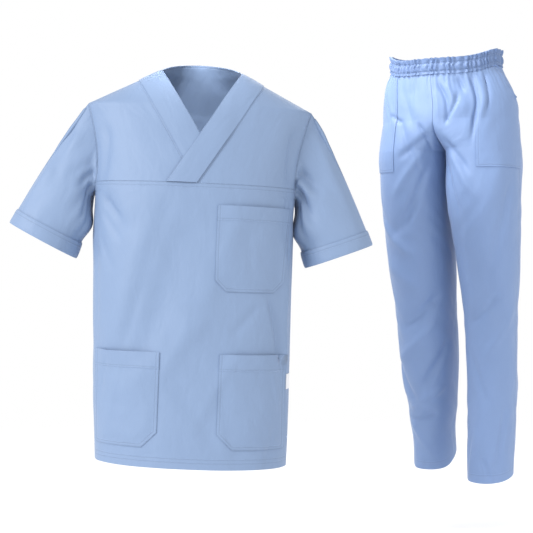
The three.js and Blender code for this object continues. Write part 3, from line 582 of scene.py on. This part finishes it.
yoke_cloth = poplin(
    "yoke_poplin",
    TUNIC_BLUE,
    [("from_armhole", 2.5, "up"), ("from_band", 5, "up"), ("from_shoulder", 7, "across")],
)
SHOULDER_FALL = -SHOULDER_TIP_Z / (SHOULDER_HALF - NECK_HALF)
for side_name, side in (("left", 1), ("right", -1)):
    above_tip = heights(SHOULDER_TIP_Z, line_top(yoke_inner) - 1)[1:]
    levels = np.append(heights(CHEST_SEAM_Z, SHOULDER_TIP_Z), above_tip)
    inner_angle = front_angle(side * yoke_inner(levels), levels)
    outer_angle = side * seam_angles(levels)[0]
    ends = (inner_angle, outer_angle) if side > 0 else (outer_angle, inner_angle)
    points = trim(tunic_grid(levels, lambda z: ends)[0])
    seam = np.abs(pattern_of(points)[..., 0] - pattern_of(points)[:, -1:, 0] * side)
    x, z = np.abs(points[..., 0]), points[..., 2]
    from_band = (x - (z - V_POINT_Z) / NECK_SLOPE - BAND_WIDTH) * math.cos(math.atan(1 / NECK_SLOPE))
    from_shoulder = (-z - (x - NECK_HALF) * SHOULDER_FALL) * math.cos(math.atan(SHOULDER_FALL))
    yoke = sewn_piece(
        f"yoke_{side_name}",
        *hung_wall(points, -CLOTH, 0),
        yoke_cloth,
        pattern_of(points),
        {"from_armhole": seam, "from_band": from_band, "from_shoulder": from_shoulder},
    )
    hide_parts(f"tunic_yoke_{side_name}")
    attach(yoke, "root")

# The neck bands are straight folded strips sewn over the yokes' neck edges, topstitched along the neck. The
# left one lies over the right one and ends in the chest seam.
PATCH = 1.2
LAYER_GAP = 0.3


def band_points(side, low_at):
    """A band's grid: columns from its neck edge to its outer edge, rows up to the shoulder seam."""
    shares = np.linspace(0, 1, 16)
    bottoms = low_at(shares)
    tops = [line_top(lambda z, w=w: (z - V_POINT_Z) / NECK_SLOPE + w * BAND_WIDTH) for w in shares]
    tops = np.array(tops) - 0.3
    up = np.linspace(0, 1, 64)[:, None]
    z = bottoms * (1 - up) + tops * up
    x = (z - V_POINT_Z) / NECK_SLOPE + shares * BAND_WIDTH
    grid = torso(front_angle(side * x, z), z)
    share = shares + 0 * z
    return (grid, share, x) if side > 0 else (grid[:, ::-1], share[:, ::-1], x[:, ::-1])


BAND_FACE = BAND_WIDTH * math.cos(math.atan(1 / NECK_SLOPE))
band_cloth = poplin("band_poplin", TUNIC_BLUE, [("from_neck_edge", 2.5, "up")])
band_lifts = {"right": 0.0, "left": PATCH + LAYER_GAP}
for side_name, side, low_at in (
    ("right", -1, lambda w: -164 - 56 * w),
    ("left", 1, lambda w: CHEST_SEAM_Z + 0.4 + 0 * w),
):
    points, share, x = band_points(side, low_at)
    over = (1 - smoothstep(x, 48, 78)) * band_lifts[side_name]
    # each band bulges softly along its middle and bites in at its stitches
    pillow = 0.9 * np.sin(np.pi * np.clip((share - 0.06) / 0.88, 0, 1)) ** 0.6
    band = sewn_piece(
        f"neck_band_{side_name}_strip",
        *hung_wall(points, LAYER_GAP + over, LAYER_GAP + PATCH + over + pillow),
        band_cloth,
        pattern_of(points),
        {"from_neck_edge": share * BAND_FACE},
    )
    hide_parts(f"neck_band_{side_name}")
    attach(band, "root")

# Three patch pockets of the same poplin, sewn on with two rows of stitches. Their lower corners are cut off,
# their mouths are hemmed, and they lie flat on the front.
def patch_pocket(name, node, x_low, x_high, bottom, top, cut_low, cut_high, hem):
    """x_low and x_high give the pocket's edges at each height; cut_low and cut_high are its cut corners."""
    levels = np.unique(np.concatenate([
        heights(bottom, top, 4), [bottom + max(cut_low, cut_high)],
        heights(top - hem - 2, top - hem + 2, 1)]))
    corner = levels - bottom
    low = x_low(levels) + np.clip(cut_low - corner, 0, None)
    high = x_high(levels) - np.clip(cut_high - corner, 0, None)
    shares = np.linspace(0, 1, 36)[None, :]
    x = low[:, None] * (1 - shares) + high[:, None] * shares
    z = levels[:, None] + 0 * x
    points = torso(front_angle(x, z), z)
    edges = [x - x_low(z), x_high(z) - x, z - bottom]
    for from_side, cut in ((edges[0], cut_low), (edges[1], cut_high)):
        if cut:
            edges.append((from_side + edges[2] - cut) * math.sqrt(0.5))
    from_edge = np.min(edges, axis=0)
    # cloth stands off between its stitches, most along the open mouth, and its hem is three layers thick
    open_mouth = smoothstep(z, top - 70, top) * 3.2 * smoothstep(from_edge, 2, 45)
    belly = 1.6 * smoothstep(from_edge, 3, 30)
    hem_layers = 0.7 * smoothstep(z, top - hem - 0.5, top - hem + 0.8)
    slack = rumple(x, z, 30, 0.35, seed=bottom) * smoothstep(from_edge, 3, 20)
    lift = LAYER_GAP + open_mouth + belly + slack
    rows_of_stitches = [("from_edge", 2, "up"), ("from_edge", 7, "up"), ("from_mouth", hem - 2, "across")]
    pocket = sewn_piece(
        name,
        *hung_wall(points, lift, lift + PATCH + hem_layers),
        poplin(f"{name}_poplin", TUNIC_BLUE, rows_of_stitches),
        pattern_of(points),
        {"from_edge": from_edge, "from_mouth": top - z},
    )
    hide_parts(node)
    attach(pocket, "root")


CHEST_MOUTH_Z = -269
patch_pocket(
    "breast_pocket", "chest_pocket",
    x_low=lambda z: 43 + 0 * z, x_high=lambda z: 189 - 11 * np.clip((CHEST_MOUTH_Z - z) / 144, 0, 1),
    bottom=-434, top=CHEST_MOUTH_Z, cut_low=21, cut_high=21, hem=29,
)
for side_name, low_edge, high_edge, cuts in (("left", 57, 185, (30, 0)), ("right", -185, -57, (0, 30))):
    patch_pocket(
        f"hip_pocket_{side_name}_patch", f"hip_pocket_{side_name}",
        x_low=lambda z, x=low_edge: x + 0 * z, x_high=lambda z, x=high_edge: x + 0 * z,
        bottom=-737, top=-554, cut_low=cuts[0], cut_high=cuts[1], hem=32,
    )

# A short plain white tape is caught in the tunic's left side seam, just below the mouth of the hip pocket. It is
# blank, and it is seen nearly edge on from the front.
TAPE_WHITE = (0.8, 0.8, 0.82)
TAB_FROM, TAB_TO = 187.5, 194
TAB_LOW, TAB_HIGH = -622, -592
tab_x, tab_z = np.meshgrid(np.linspace(TAB_FROM, TAB_TO, 8), heights(TAB_LOW, TAB_HIGH, 2))
tab_points = torso(front_angle(tab_x, tab_z), tab_z)
seam_tab = sewn_piece(
    "seam_tab",
    *hung_wall(tab_points, LAYER_GAP, LAYER_GAP + PATCH),
    poplin("white_tape", TAPE_WHITE),
    pattern_of(tab_points),
)
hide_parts("side_tab")
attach(seam_tab, "root")

# The short sleeves are each one piece closed by an underarm seam and set into the armhole, with a cuff turned
# up over the end and stitched twice. They stand away from the body as on a rounded arm.
CUFF_HEIGHT = 29
SLEEVE_GAP = 0.6
SLEEVE_GIRTH = 380
SLEEVE_LENGTH = 230
SLEEVE_COLUMNS = 110
SLEEVE_ROWS = 64
CUFF_FROM = 0.86
UNDERARM_SLACK = 13
ARMHOLE_HEIGHTS = [UNDERARM_Z, -244, CHEST_SEAM_Z, -206, -184, -162, -141, -121, -103, -87, SHOULDER_TIP_Z]
SLEEVES = {
    "left": {"side": 1, "x": 293, "y": 4, "z": -357, "half": 71, "deep": 60, "lean": 21},
    "right": {"side": -1, "x": 298, "y": -4, "z": -348, "half": 72, "deep": 61, "lean": 26.5},
}
# The folds of each sleeve: where they start and end, round the arm in turns from the shoulder over the front,
# and down the sleeve from 0 at the armhole to 1 at the hem, then how wide in mm, and how deep.
SLEEVE_CREASES = {
    "left": [
        (0.34, 0.0, 0.22, 0.5, 9, -9), (0.42, 0.05, 0.30, 0.7, 9, -8), (0.38, 0.0, 0.28, 0.5, 8, 5),
        (0.30, 0.10, 0.16, 0.55, 11, -4), (0.40, 0.15, 0.24, 0.75, 11, -3.5), (0.36, 0.06, 0.30, 0.45, 8, 3),
        (0.10, 0.25, 0.14, 0.95, 16, 3), (0.44, 0.2, 0.38, 0.8, 9, -4), (0.06, 0.02, 0.02, 0.3, 12, -2.5),
        (0.62, 0.1, 0.78, 0.6, 12, -3.5), (0.56, 0.2, 0.66, 0.7, 10, 3), (0.88, 0.3, 0.84, 0.9, 16, 3),
    ],
    "right": [
        (0.38, 0.0, 0.28, 0.45, 9, -8), (0.43, 0.05, 0.36, 0.7, 8, -6),
        (0.32, 0.08, 0.20, 0.5, 11, -3.5), (0.40, 0.12, 0.30, 0.7, 11, -4), (0.12, 0.2, 0.10, 0.7, 15, 3),
        (0.02, 0.25, 0.16, 0.6, 13, -3), (0.45, 0.2, 0.40, 0.85, 9, -4), (0.05, 0.5, 0.12, 0.95, 12, 2.5),
        (0.62, 0.1, 0.78, 0.6, 12, -3.5), (0.56, 0.2, 0.66, 0.7, 10, 3), (0.88, 0.3, 0.84, 0.9, 16, 3),
    ],
}


def armhole_edge(side, count):
    """Points, normals and directions away from the body, from the shoulder down the front and round."""
    order = ARMHOLE_HEIGHTS[::-1] + ARMHOLE_HEIGHTS[1:]
    place = np.arange(count) / count * (len(order) - 1)
    z = np.interp(place, np.arange(len(order)), order)
    front = place <= len(ARMHOLE_HEIGHTS) - 1
    at_front, at_back = seam_angles(z)
    angle = np.where(front, at_front, at_back) * side
    step = np.where(front, side, -side)
    point = torso(angle, z)
    around = torso(angle + 0.5, z) - torso(angle - 0.5, z)
    normal = np.cross(around, torso(angle, z + 0.5) - torso(angle, z - 0.5))
    normal /= np.linalg.norm(normal, axis=-1, keepdims=True)
    away = point - torso(angle - step, z)
    away /= np.linalg.norm(away, axis=-1, keepdims=True)
    low = (1 - smoothstep(z, UNDERARM_Z, UNDERARM_Z + 40))[:, None]
    tip = smoothstep(z, SHOULDER_TIP_Z - 3, SHOULDER_TIP_Z)[:, None]
    away = away * (1 - np.maximum(low, tip)) + np.array([0, 0, 1]) * (low - tip)
    away /= np.linalg.norm(away, axis=-1, keepdims=True)
    return point, normal, away


def sleeve_rings(sleeve):
    """Rings of sleeve points from the armhole to the hem, the armhole's normals, and how far down each is."""
    side = sleeve["side"]
    count = SLEEVE_COLUMNS
    point, normal, away = armhole_edge(side, count)
    lean = math.radians(sleeve["lean"])
    across = np.array([side * math.cos(lean), 0, math.sin(lean)])
    down = np.array([side * math.sin(lean), 0, -math.cos(lean)])
    a = np.arange(count) / count * 2 * np.pi
    top = ((1 + np.cos(a)) / 2)[:, None]
    start = point + away * SLEEVE_GAP
    end = np.array([side * sleeve["x"], sleeve["y"], sleeve["z"]])
    end = end + np.cos(a)[:, None] * across * sleeve["half"]
    end = end - np.sin(a)[:, None] * np.array([0, sleeve["deep"], 0])
    start_pull = normal + away * 0.3 + np.sqrt(top) * np.array([0, 0, -1.3])
    start_pull /= np.linalg.norm(start_pull, axis=-1, keepdims=True)
    start_pull = start_pull * (35 * (1 - top) + 125 * top)
    length = np.linalg.norm(end - start, axis=-1, keepdims=True) * 1.05
    cuff = 1 - CUFF_HEIGHT / length
    share = np.linspace(0, 1, SLEEVE_ROWS)[:, None, None]
    in_cuff = (share - CUFF_FROM) / (1 - CUFF_FROM)
    t = np.where(share <= CUFF_FROM, share / CUFF_FROM * cuff, cuff + in_cuff * (1 - cuff))
    rings = (
        start * (2 * t**3 - 3 * t**2 + 1) + start_pull * (t**3 - 2 * t**2 + t)
        + end * (3 * t**2 - 2 * t**3) + down * length * (t**3 - t**2)
    )
    inwards = np.array([-side, -0.9, 0]) * UNDERARM_SLACK * (1 - top) ** 2
    rings = rings + inwards * np.sin(np.pi * np.minimum(t / cuff, 1) ** 2.3) ** 2
    return rings, normal, t[..., 0]


for side_name, sleeve in SLEEVES.items():
    side = sleeve["side"]
    rings, seam_normal, reach = sleeve_rings(sleeve)
    turns = np.arange(SLEEVE_COLUMNS)[None, :] / SLEEVE_COLUMNS + 0 * reach
    normals = face_out(rings, ring=True) * side
    units = np.array([SLEEVE_GIRTH, SLEEVE_LENGTH, SLEEVE_GIRTH, SLEEVE_LENGTH, 1, 1])
    folds = np.array(SLEEVE_CREASES[side_name]) * units
    round_arm, down_arm = turns * SLEEVE_GIRTH, reach * SLEEVE_LENGTH
    height = sum(fold_height(folds, round_arm + lap * SLEEVE_GIRTH, down_arm) for lap in (-1, 0, 1))
    from_top = np.minimum(turns, 1 - turns)
    height += rumple(round_arm, down_arm, 55, 0.5, seed=side) * smoothstep(from_top, 0, 0.1)
    height *= smoothstep(reach, 0, 0.12)
    rings = rings + normals * height[..., None]
    normals = face_out(rings, ring=True) * side
    normals[0] = seam_normal
    flat = pattern_of(rings, ring=True)
    cuff_rows = np.s_[int(CUFF_FROM * (SLEEVE_ROWS - 1)):]
    from_armhole = flat[..., 1]
    from_cuff = (reach - reach[cuff_rows][0]) / (1 - reach[cuff_rows][0]) * CUFF_HEIGHT
    order = np.s_[:] if side > 0 else np.s_[::-1]
    sleeve_cloth = poplin(f"sleeve_{side_name}_poplin", TUNIC_BLUE, [("from_armhole", 3, "across")])
    outer, inner = wall(hang(rings), normals, -CLOTH, 0)
    tube = sewn_piece(
        f"sleeve_{side_name}_tube", outer[order], inner[order], sleeve_cloth, flat[order],
        {"from_armhole": from_armhole[order]}, ring=True,
    )
    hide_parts(f"sleeve_{side_name}")
    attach(tube, "root")
    # the turned-up cuff is three layers, fullest between its upper edge and its stitches
    from_cuff_top = from_cuff[cuff_rows]
    puff = 0.9 * smoothstep(from_cuff_top, 0, 3) * (1 - smoothstep(from_cuff_top, 26, CUFF_HEIGHT))
    high = LAYER_GAP + PATCH + puff
    outer, inner = wall(hang(rings[cuff_rows]), normals[cuff_rows], LAYER_GAP, high)
    cuff_stitches = [("from_cuff_top", 2, "across"), ("from_cuff_top", 8.5, "across")]
    cuff_cloth = poplin(f"cuff_{side_name}_poplin", TUNIC_BLUE, cuff_stitches)
    cuff = sewn_piece(
        f"cuff_{side_name}_band", outer[order], inner[order], cuff_cloth, flat[cuff_rows][order],
        {"from_cuff_top": from_cuff_top[order]}, ring=True,
    )
    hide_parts(f"cuff_{side_name}")
    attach(cuff, "root")

# The trousers are four long panels, two fronts and two backs, in a slightly stronger blue. They join at the
# side seams, the inseams and the curved centre seam, and the right leg is a step behind the left one.
TROUSER_BLUE = (0.178, 0.27, 0.48)
TROUSERS_AT = (566, 455, 112)
TROUSERS_TURN = math.radians(-28)
BAND_HEIGHT = 37
CROTCH_Z = -232
LEG_END_Z = -1000
STRIDE = math.radians(9.4)
HIP_PIVOT_Z = -250
WAIST_DIP = 24
WAIST_ASIDE = -12
HEM_LIFT = {"left": (0, 18), "right": (8, 44)}
WAIST_HALF = 130
WAIST_DEEP = 100
FORK_TOP_Z = -160
CROTCH_Y = 5
TROUSER_POWER = 2 / 2.15
PANEL_COLUMNS = 100
GATHERS = 66
LEG = {
    "z": [-1000, -800, -625, -484, -343, -270, -232, -160, -100, -37],
    "outer": [137, 140, 144, 156, 169, 168, 164, 159, 153, 130],
    "crest": [85, 85, 85, 86, 85, 78, 66, 0.2, 0.2, 0.2],
    "inner": [33, 30, 26, 15, 4, 2, 0.2, 0.2, 0.2, 0.2],
    "front": [-68, -67, -71, -80, -96, -108, -116, -121, -113, -100],
    "back": [68, 67, 70, 81, 98, 113, 122, 125, 114, 100],
}
LEG_SET = {
    "left": {
        "z": [-1000, -780, -625, -484, -343, -232],
        "back": [35, 48, 39, 18, -17, 0],
        "full": [1, 1.02, 1.02, 1.02, 1.01, 1],
    },
    "right": {
        "z": [-1000, -925, -860, -720, -625, -484, -343, -232],
        "back": [4, 7, 7, 5, 4, -4, -9, 0],
        "full": [0.94, 0.93, 1.05, 1.2, 1.17, 1.1, 0.96, 1],
    },
}
# s goes round from the side seam, forwards for the front panel and negative backwards.
LEG_FOLDS = {
    "left": [
        (137, -45, 130, -180, 17, -5), (75, -260, 120, -420, 20, 5), (110, -480, 60, -640, 20, -4),
        (80, -760, 110, -960, 18, 4), (-110, -60, -120, -190, 20, -4), (-60, -480, -110, -560, 20, 5),
    ],
    "right": [
        (150, -60, 150, -180, 18, -4), (60, -480, 150, -560, 20, 5), (20, -835, 130, -860, 24, -5),
        (60, -690, 110, -800, 20, 4), (-110, -60, -120, -190, 20, -4), (-60, -520, -120, -590, 20, 5),
    ],
}
LEG_CREASES = {
    "left": [
        (92, -30, 144, -215, 4.5, -4.5), (58, -30, 104, -150, 4.5, -3.5), (78, -40, 124, -190, 7, 2.5),
        (178, -60, 192, -170, 5, -4), (150, -90, 196, -172, 5, -3.5), (204, -70, 214, -170, 8, 2),
        (122, -30, 134, -85, 4.5, -3), (160, -60, 172, -140, 6, 2),
        (215, -210, 150, -290, 8, -3.5), (200, -240, 130, -350, 9, 3), (225, -260, 160, -400, 9, -3),
        (40, -300, 90, -520, 12, -3), (150, -420, 120, -620, 12, 3), (60, -560, 130, -640, 10, -3),
        (20, -600, 100, -720, 12, 2.5), (130, -700, 80, -830, 10, -2.5), (40, -820, 60, -980, 9, -2.5),
        (110, -880, 130, -990, 8, 2.5), (95, -940, 75, -995, 7, -2.5),
        (-40, -300, -90, -480, 12, -3), (-150, -260, -90, -330, 10, -3.5), (-60, -540, -130, -620, 10, -3),
        (-40, -760, -90, -930, 11, 2.5), (-120, -700, -90, -860, 10, -2.5),
    ],
    "right": [
        (27, -30, 104, -150, 4, -4.5), (104, -140, 142, -166, 5, -3), (140, -160, 200, -275, 7, -3),
        (190, -170, 236, -232, 5, -3), (60, -50, 128, -190, 7, 2), (120, -60, 190, -200, 8, -1.5),
        (225, -200, 150, -250, 8, -3), (210, -235, 120, -330, 9, 3), (225, -262, 130, -400, 9, -3),
        (190, -330, 90, -420, 11, -3), (60, -380, 140, -470, 12, 3), (170, -560, 80, -640, 10, -4),
        (150, -620, 60, -720, 10, 3.5), (170, -680, 100, -790, 9, -3.5), (20, -700, 90, -830, 10, -3),
        (150, -790, 60, -840, 8, 4), (130, -850, 40, -880, 8, -3.5), (60, -880, 110, -960, 9, 2.5),
        (-40, -300, -90, -480, 12, -3), (-150, -260, -90, -330, 10, -3.5), (-60, -640, -130, -720, 10, -3),
        (-40, -790, -110, -850, 10, -3.5), (-110, -870, -60, -960, 10, 2.5),
    ],
}


MOUTH_FROM = (126, -39)
MOUTH_TO = (166, -139)


def steady(table, key, z):
    return np.interp(z, table["z"], table[key])


def between_corners(z, upper, lower):
    """The x at height z of the straight line between two [x, z] corners, carried on below the lower one."""
    return upper[0] + (z - upper[1]) * (lower[0] - upper[0]) / (lower[1] - upper[1])


def leg_line(z, ahead):
    """Even points from the side seam round the crest of the leg to the inner seam, and how far along."""
    outer = float(column(LEG, "outer", z))
    crest, inner = steady(LEG, "crest", z), steady(LEG, "inner", z)
    deep = float(column(LEG, "front" if ahead else "back", z))
    fork = np.clip((FORK_TOP_Z - z) / (FORK_TOP_Z - CROTCH_Z), 0, 1)
    end = deep + (CROTCH_Y - deep) * fork**2.5
    a = np.linspace(0, np.pi / 2, 90)
    cos, sin = curved(np.cos(a), TROUSER_POWER), curved(np.sin(a), TROUSER_POWER)
    first = np.stack([crest + (outer - crest) * cos, deep * sin], axis=-1)
    second = np.stack([crest + (inner - crest) * sin, end + (deep - end) * cos], axis=-1)
    line = np.concatenate([first, second[1:]])
    lengths = np.concatenate([[0], np.cumsum(np.linalg.norm(np.diff(line, axis=0), axis=-1))])
    s = np.linspace(0, lengths[-1], PANEL_COLUMNS + 1)
    x, y = np.interp(s, lengths, line[:, 0]), np.interp(s, lengths, line[:, 1])
    return np.stack([x, y, np.full_like(x, z)], axis=-1), s if ahead else -s


def gather_wave(angle):
    """The uneven gathers round the waist, from 0 in a valley to about 1 on a crest."""
    turn = angle / (2 * np.pi) * GATHERS
    turn = turn + 0.28 * np.sin(turn * 0.61) + 0.2 * np.sin(turn * 1.7)
    return (0.5 + 0.5 * np.sin(2 * np.pi * turn)) ** 0.8 * (0.85 + 0.3 * np.sin(turn * 2.3))


def leg_rows(side_name):
    levels = np.concatenate([
        heights(LEG_END_Z, -300), heights(-300, CROTCH_Z, 3)[1:], heights(CROTCH_Z, FORK_TOP_Z, 2)[1:],
        heights(FORK_TOP_Z, -BAND_HEIGHT - SEAM_GAP / 2, 4)[1:],
    ])
    fronts, backs = zip(*[(leg_line(z, True), leg_line(z, False)) for z in levels])
    points = np.array([np.concatenate([f[0][::-1], b[0][1:]]) for f, b in zip(fronts, backs)])
    s = np.array([np.concatenate([f[1][::-1], b[1][1:]]) for f, b in zip(fronts, backs)])
    closed = levels <= CROTCH_Z

    def outward(grid):
        around = np.gradient(grid, axis=1)
        join = (grid[closed, 1] - grid[closed, -2]) / 2
        around[closed, 0] = join
        around[closed, -1] = join
        normals = np.cross(around, np.gradient(grid, axis=0))
        for edge in (0, -1):
            normals[:, edge, 0] = np.minimum(normals[:, edge, 0], 0)
        return normals / np.maximum(np.linalg.norm(normals, axis=-1, keepdims=True), 1e-9)

    z = levels[:, None] + 0 * s
    height = fold_height(LEG_FOLDS[side_name], s, z) + 1.6 * fold_height(LEG_CREASES[side_name], s, z)
    height = height + rumple(s, z, 48, 0.6, seed=2 if side_name == "left" else 5)
    full = column(LEG_SET[side_name], "full", z)
    crest = steady(LEG, "crest", z)
    angle = np.arctan2(points[..., 0] / WAIST_HALF, -points[..., 1] / WAIST_DEEP)
    gathered = np.exp((z + BAND_HEIGHT) / 34)
    height = height * smoothstep(-z, BAND_HEIGHT, BAND_HEIGHT + 25)
    height = height + 2.6 * gathered * (gather_wave(angle) - 0.4)
    # the cloth behind a slant pocket's mouth lies back from it
    beyond = points[..., 0] - between_corners(z, MOUTH_FROM, MOUTH_TO)
    behind = smoothstep(beyond, -4, 2) * smoothstep(z, MOUTH_TO[1], MOUTH_TO[1] + 30) * smoothstep(s, 0, 12)
    height = height - 3.5 * behind
    from_centre = np.minimum(np.abs(s - s[:, :1]), np.abs(s - s[:, -1:]))
    height = height * smoothstep(from_centre, 0, 12)
    points = points + outward(points) * height[..., None]
    points[..., 0] = crest + (points[..., 0] - crest) * full
    points[..., 1] = points[..., 1] * full + column(LEG_SET[side_name], "back", z)
    normals = outward(points)
    if side_name == "right":
        mirror = np.array([-1, 1, 1])
        points, normals, s = (points * mirror)[:, ::-1], (normals * mirror)[:, ::-1], s[:, ::-1]
    return levels, points, normals, s


def stand(points, side_name):
    """Moves trouser points from standing straight to the pose."""
    x, y, z = points[..., 0].copy(), points[..., 1].copy(), points[..., 2].copy()
    x += WAIST_ASIDE * smoothstep(z, -140, -30)
    z -= WAIST_DIP * smoothstep(z, -215, -25) * smoothstep(-y, 15, 100)
    fore, rear = HEM_LIFT[side_name]
    z += (fore + (rear - fore) * smoothstep(y, -50, 80)) * smoothstep(-z, 800, 1000)
    if side_name == "right":
        a = STRIDE * smoothstep(-z, 200, 420)
        down = z - HIP_PIVOT_Z
        y, z = y * np.cos(a) - down * np.sin(a), HIP_PIVOT_Z + down * np.cos(a) + y * np.sin(a)
    turn = TROUSERS_TURN
    return np.stack(
        [x * math.cos(turn) - y * math.sin(turn), x * math.sin(turn) + y * math.cos(turn), z], axis=-1
    ) + np.array(TROUSERS_AT)


trouser_cloth = poplin(
    "trouser_poplin", TROUSER_BLUE,
    [("from_hem", 20, "across"), ("from_side", 2, "up")],
)
legs = {}
for side_name in ("left", "right"):
    levels, points, normals, s = leg_rows(side_name)
    legs[side_name] = (levels, points, normals, s)
    first, second = np.s_[:, : PANEL_COLUMNS + 1], np.s_[:, PANEL_COLUMNS:]
    halves = {"front": first, "back": second} if side_name == "left" else {"front": second, "back": first}
    for face, half in halves.items():
        panel = trim(points[half])
        outer, inner = panel, panel - normals[half] * CLOTH
        marks = {"from_hem": panel[..., 2] - LEG_END_Z, "from_side": np.abs(s[half])}
        leg_panel = sewn_piece(
            f"leg_{face}_{side_name}", stand(outer, side_name), stand(inner, side_name),
            trouser_cloth, pattern_of(panel), marks,
        )
        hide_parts(f"trouser_{face}_{side_name}")
        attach(leg_panel, "root")

# The slant pockets are patches on the two fronts, caught in the waist and side seams. Each is open along its
# slanted upper corner, where a hand goes in, and topstitched down its inner edge and along the bottom.
POCKET_INNER_TOP = (90, -39)
POCKET_INNER_LOW = (101, -279)
pocket_cloth = poplin(
    "slant_pocket_poplin", TROUSER_BLUE,
    [("from_edge", 2, "up"), ("from_edge", 8, "up"), ("from_mouth", 3, "up"), ("from_mouth", 9, "up")],
)
for side_name in ("left", "right"):
    levels, points, normals, s = legs[side_name]
    sign = 1 if side_name == "left" else -1
    half = np.s_[:, : PANEL_COLUMNS + 1] if side_name == "left" else np.s_[:, PANEL_COLUMNS:]
    rows = [j for j, z in enumerate(levels) if POCKET_INNER_LOW[1] <= z <= MOUTH_FROM[1]]
    grid, faces, edge_marks, mouth_marks = [], [], [], []
    for j in rows:
        z = levels[j]
        line, normal = points[half][j], normals[half][j]
        order = np.argsort(np.abs(s[half][j]))
        line, normal, along = line[order], normal[order], np.abs(s[half][j])[order]
        x = np.abs(line[:, 0])
        mouth_x = between_corners(z, MOUTH_FROM, MOUTH_TO)
        x_falls = np.minimum.accumulate(x)
        s_inner = np.interp(-between_corners(z, POCKET_INNER_TOP, POCKET_INNER_LOW), -x_falls, along)
        s_mouth = np.interp(-mouth_x, -x_falls, along) if mouth_x < x[0] else 0.25
        across = np.linspace(s_inner, s_mouth, 34) if sign > 0 else np.linspace(s_mouth, s_inner, 34)
        grid.append(np.stack([np.interp(across, along, line[:, k]) for k in range(3)], axis=-1))
        faces.append(np.stack([np.interp(across, along, normal[:, k]) for k in range(3)], axis=-1))
        edge_marks.append(np.minimum(s_inner - across, z - POCKET_INNER_LOW[1]))
        mouth_marks.append((across - s_mouth) * 0.85 if mouth_x < x[0] else 60 + 0 * across)
    grid, faces = np.array(grid), np.array(faces)
    edge_marks, mouth_marks = np.array(edge_marks), np.array(mouth_marks)
    belly = 1.8 * smoothstep(edge_marks, 3, 30) * smoothstep(grid[..., 2], -40, -70)
    agape = 5 * (1 - smoothstep(mouth_marks, 0, 26)) * smoothstep(-grid[..., 2], 40, 62)
    low = (LAYER_GAP + belly + agape)[..., None]
    outer, inner = grid + faces * (low + PATCH), grid + faces * low
    patch = sewn_piece(
        f"slant_pocket_{side_name}_patch", stand(outer, side_name), stand(inner, side_name), pocket_cloth,
        pattern_of(grid), {"from_edge": edge_marks, "from_mouth": mouth_marks},
    )
    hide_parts(f"slant_pocket_{side_name}")
    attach(patch, "root")

# The waistband is a casing of the trousers' own cloth drawn up over a wide elastic into fine uneven gathers,
# with two rows of stitches through both and a short frill standing along its top.
WAIST_COLUMNS = 672
BAND_ROWS = heights(-BAND_HEIGHT + SEAM_GAP / 2, 0, 1.6)
SHIRRING = (-31, -12)
WAISTBAND_BLUE = (0.134, 0.21, 0.395)
turn = np.arange(WAIST_COLUMNS) / WAIST_COLUMNS * 2 * np.pi
angle, z = np.meshgrid(turn, BAND_ROWS)
half = WAIST_HALF - 2 + 2 * (-z / BAND_HEIGHT) + 1.2 * smoothstep(z, -8, 0)
deep = WAIST_DEEP - 2 + 2 * (-z / BAND_HEIGHT) + 1.2 * smoothstep(z, -8, 0)
x = half * curved(np.sin(angle), TROUSER_POWER)
y = -deep * curved(np.cos(angle), TROUSER_POWER)
normals = np.stack([x / half**2, y / deep**2, 0 * x], axis=-1)
normals /= np.linalg.norm(normals, axis=-1, keepdims=True)
plain = np.stack([x, y, z], axis=-1)
bite = sum(np.exp(-(((z - row) / 2.2) ** 2)) for row in SHIRRING)
puff = 1.6 + 1.2 * np.sin(np.pi * np.clip((z + 31) / 19, 0, 1)) + 0.8 * smoothstep(z, -12, -3)
crinkle = gather_wave(angle + 0.012 * np.sin(z / 4.1) + 0.006 * np.sin(z / 2.3 + 9 * angle))
raised = (PATCH + puff * crinkle * 1.9) * (1 - 0.4 * bite)
outer = plain + normals * raised[..., None]
inner = plain - normals * CLOTH
frill = 1.1 * (crinkle - 0.5) * smoothstep(z, -9, 0)
outer, inner = outer + normals * frill[..., None], inner + normals * frill[..., None]
outer[..., 2] += 0.8 * crinkle * smoothstep(z, -6, 0)
shirring_stitches = [("from_top", -row, "across") for row in SHIRRING]
waistband_cloth = poplin("waistband_poplin", WAISTBAND_BLUE, shirring_stitches)
waistband = sewn_piece(
    "gathered_waistband", stand(outer, "left"), stand(inner, "left"), waistband_cloth,
    pattern_of(plain, ring=True), {"from_top": -z}, ring=True,
)
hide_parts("waistband")
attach(waistband, "root")
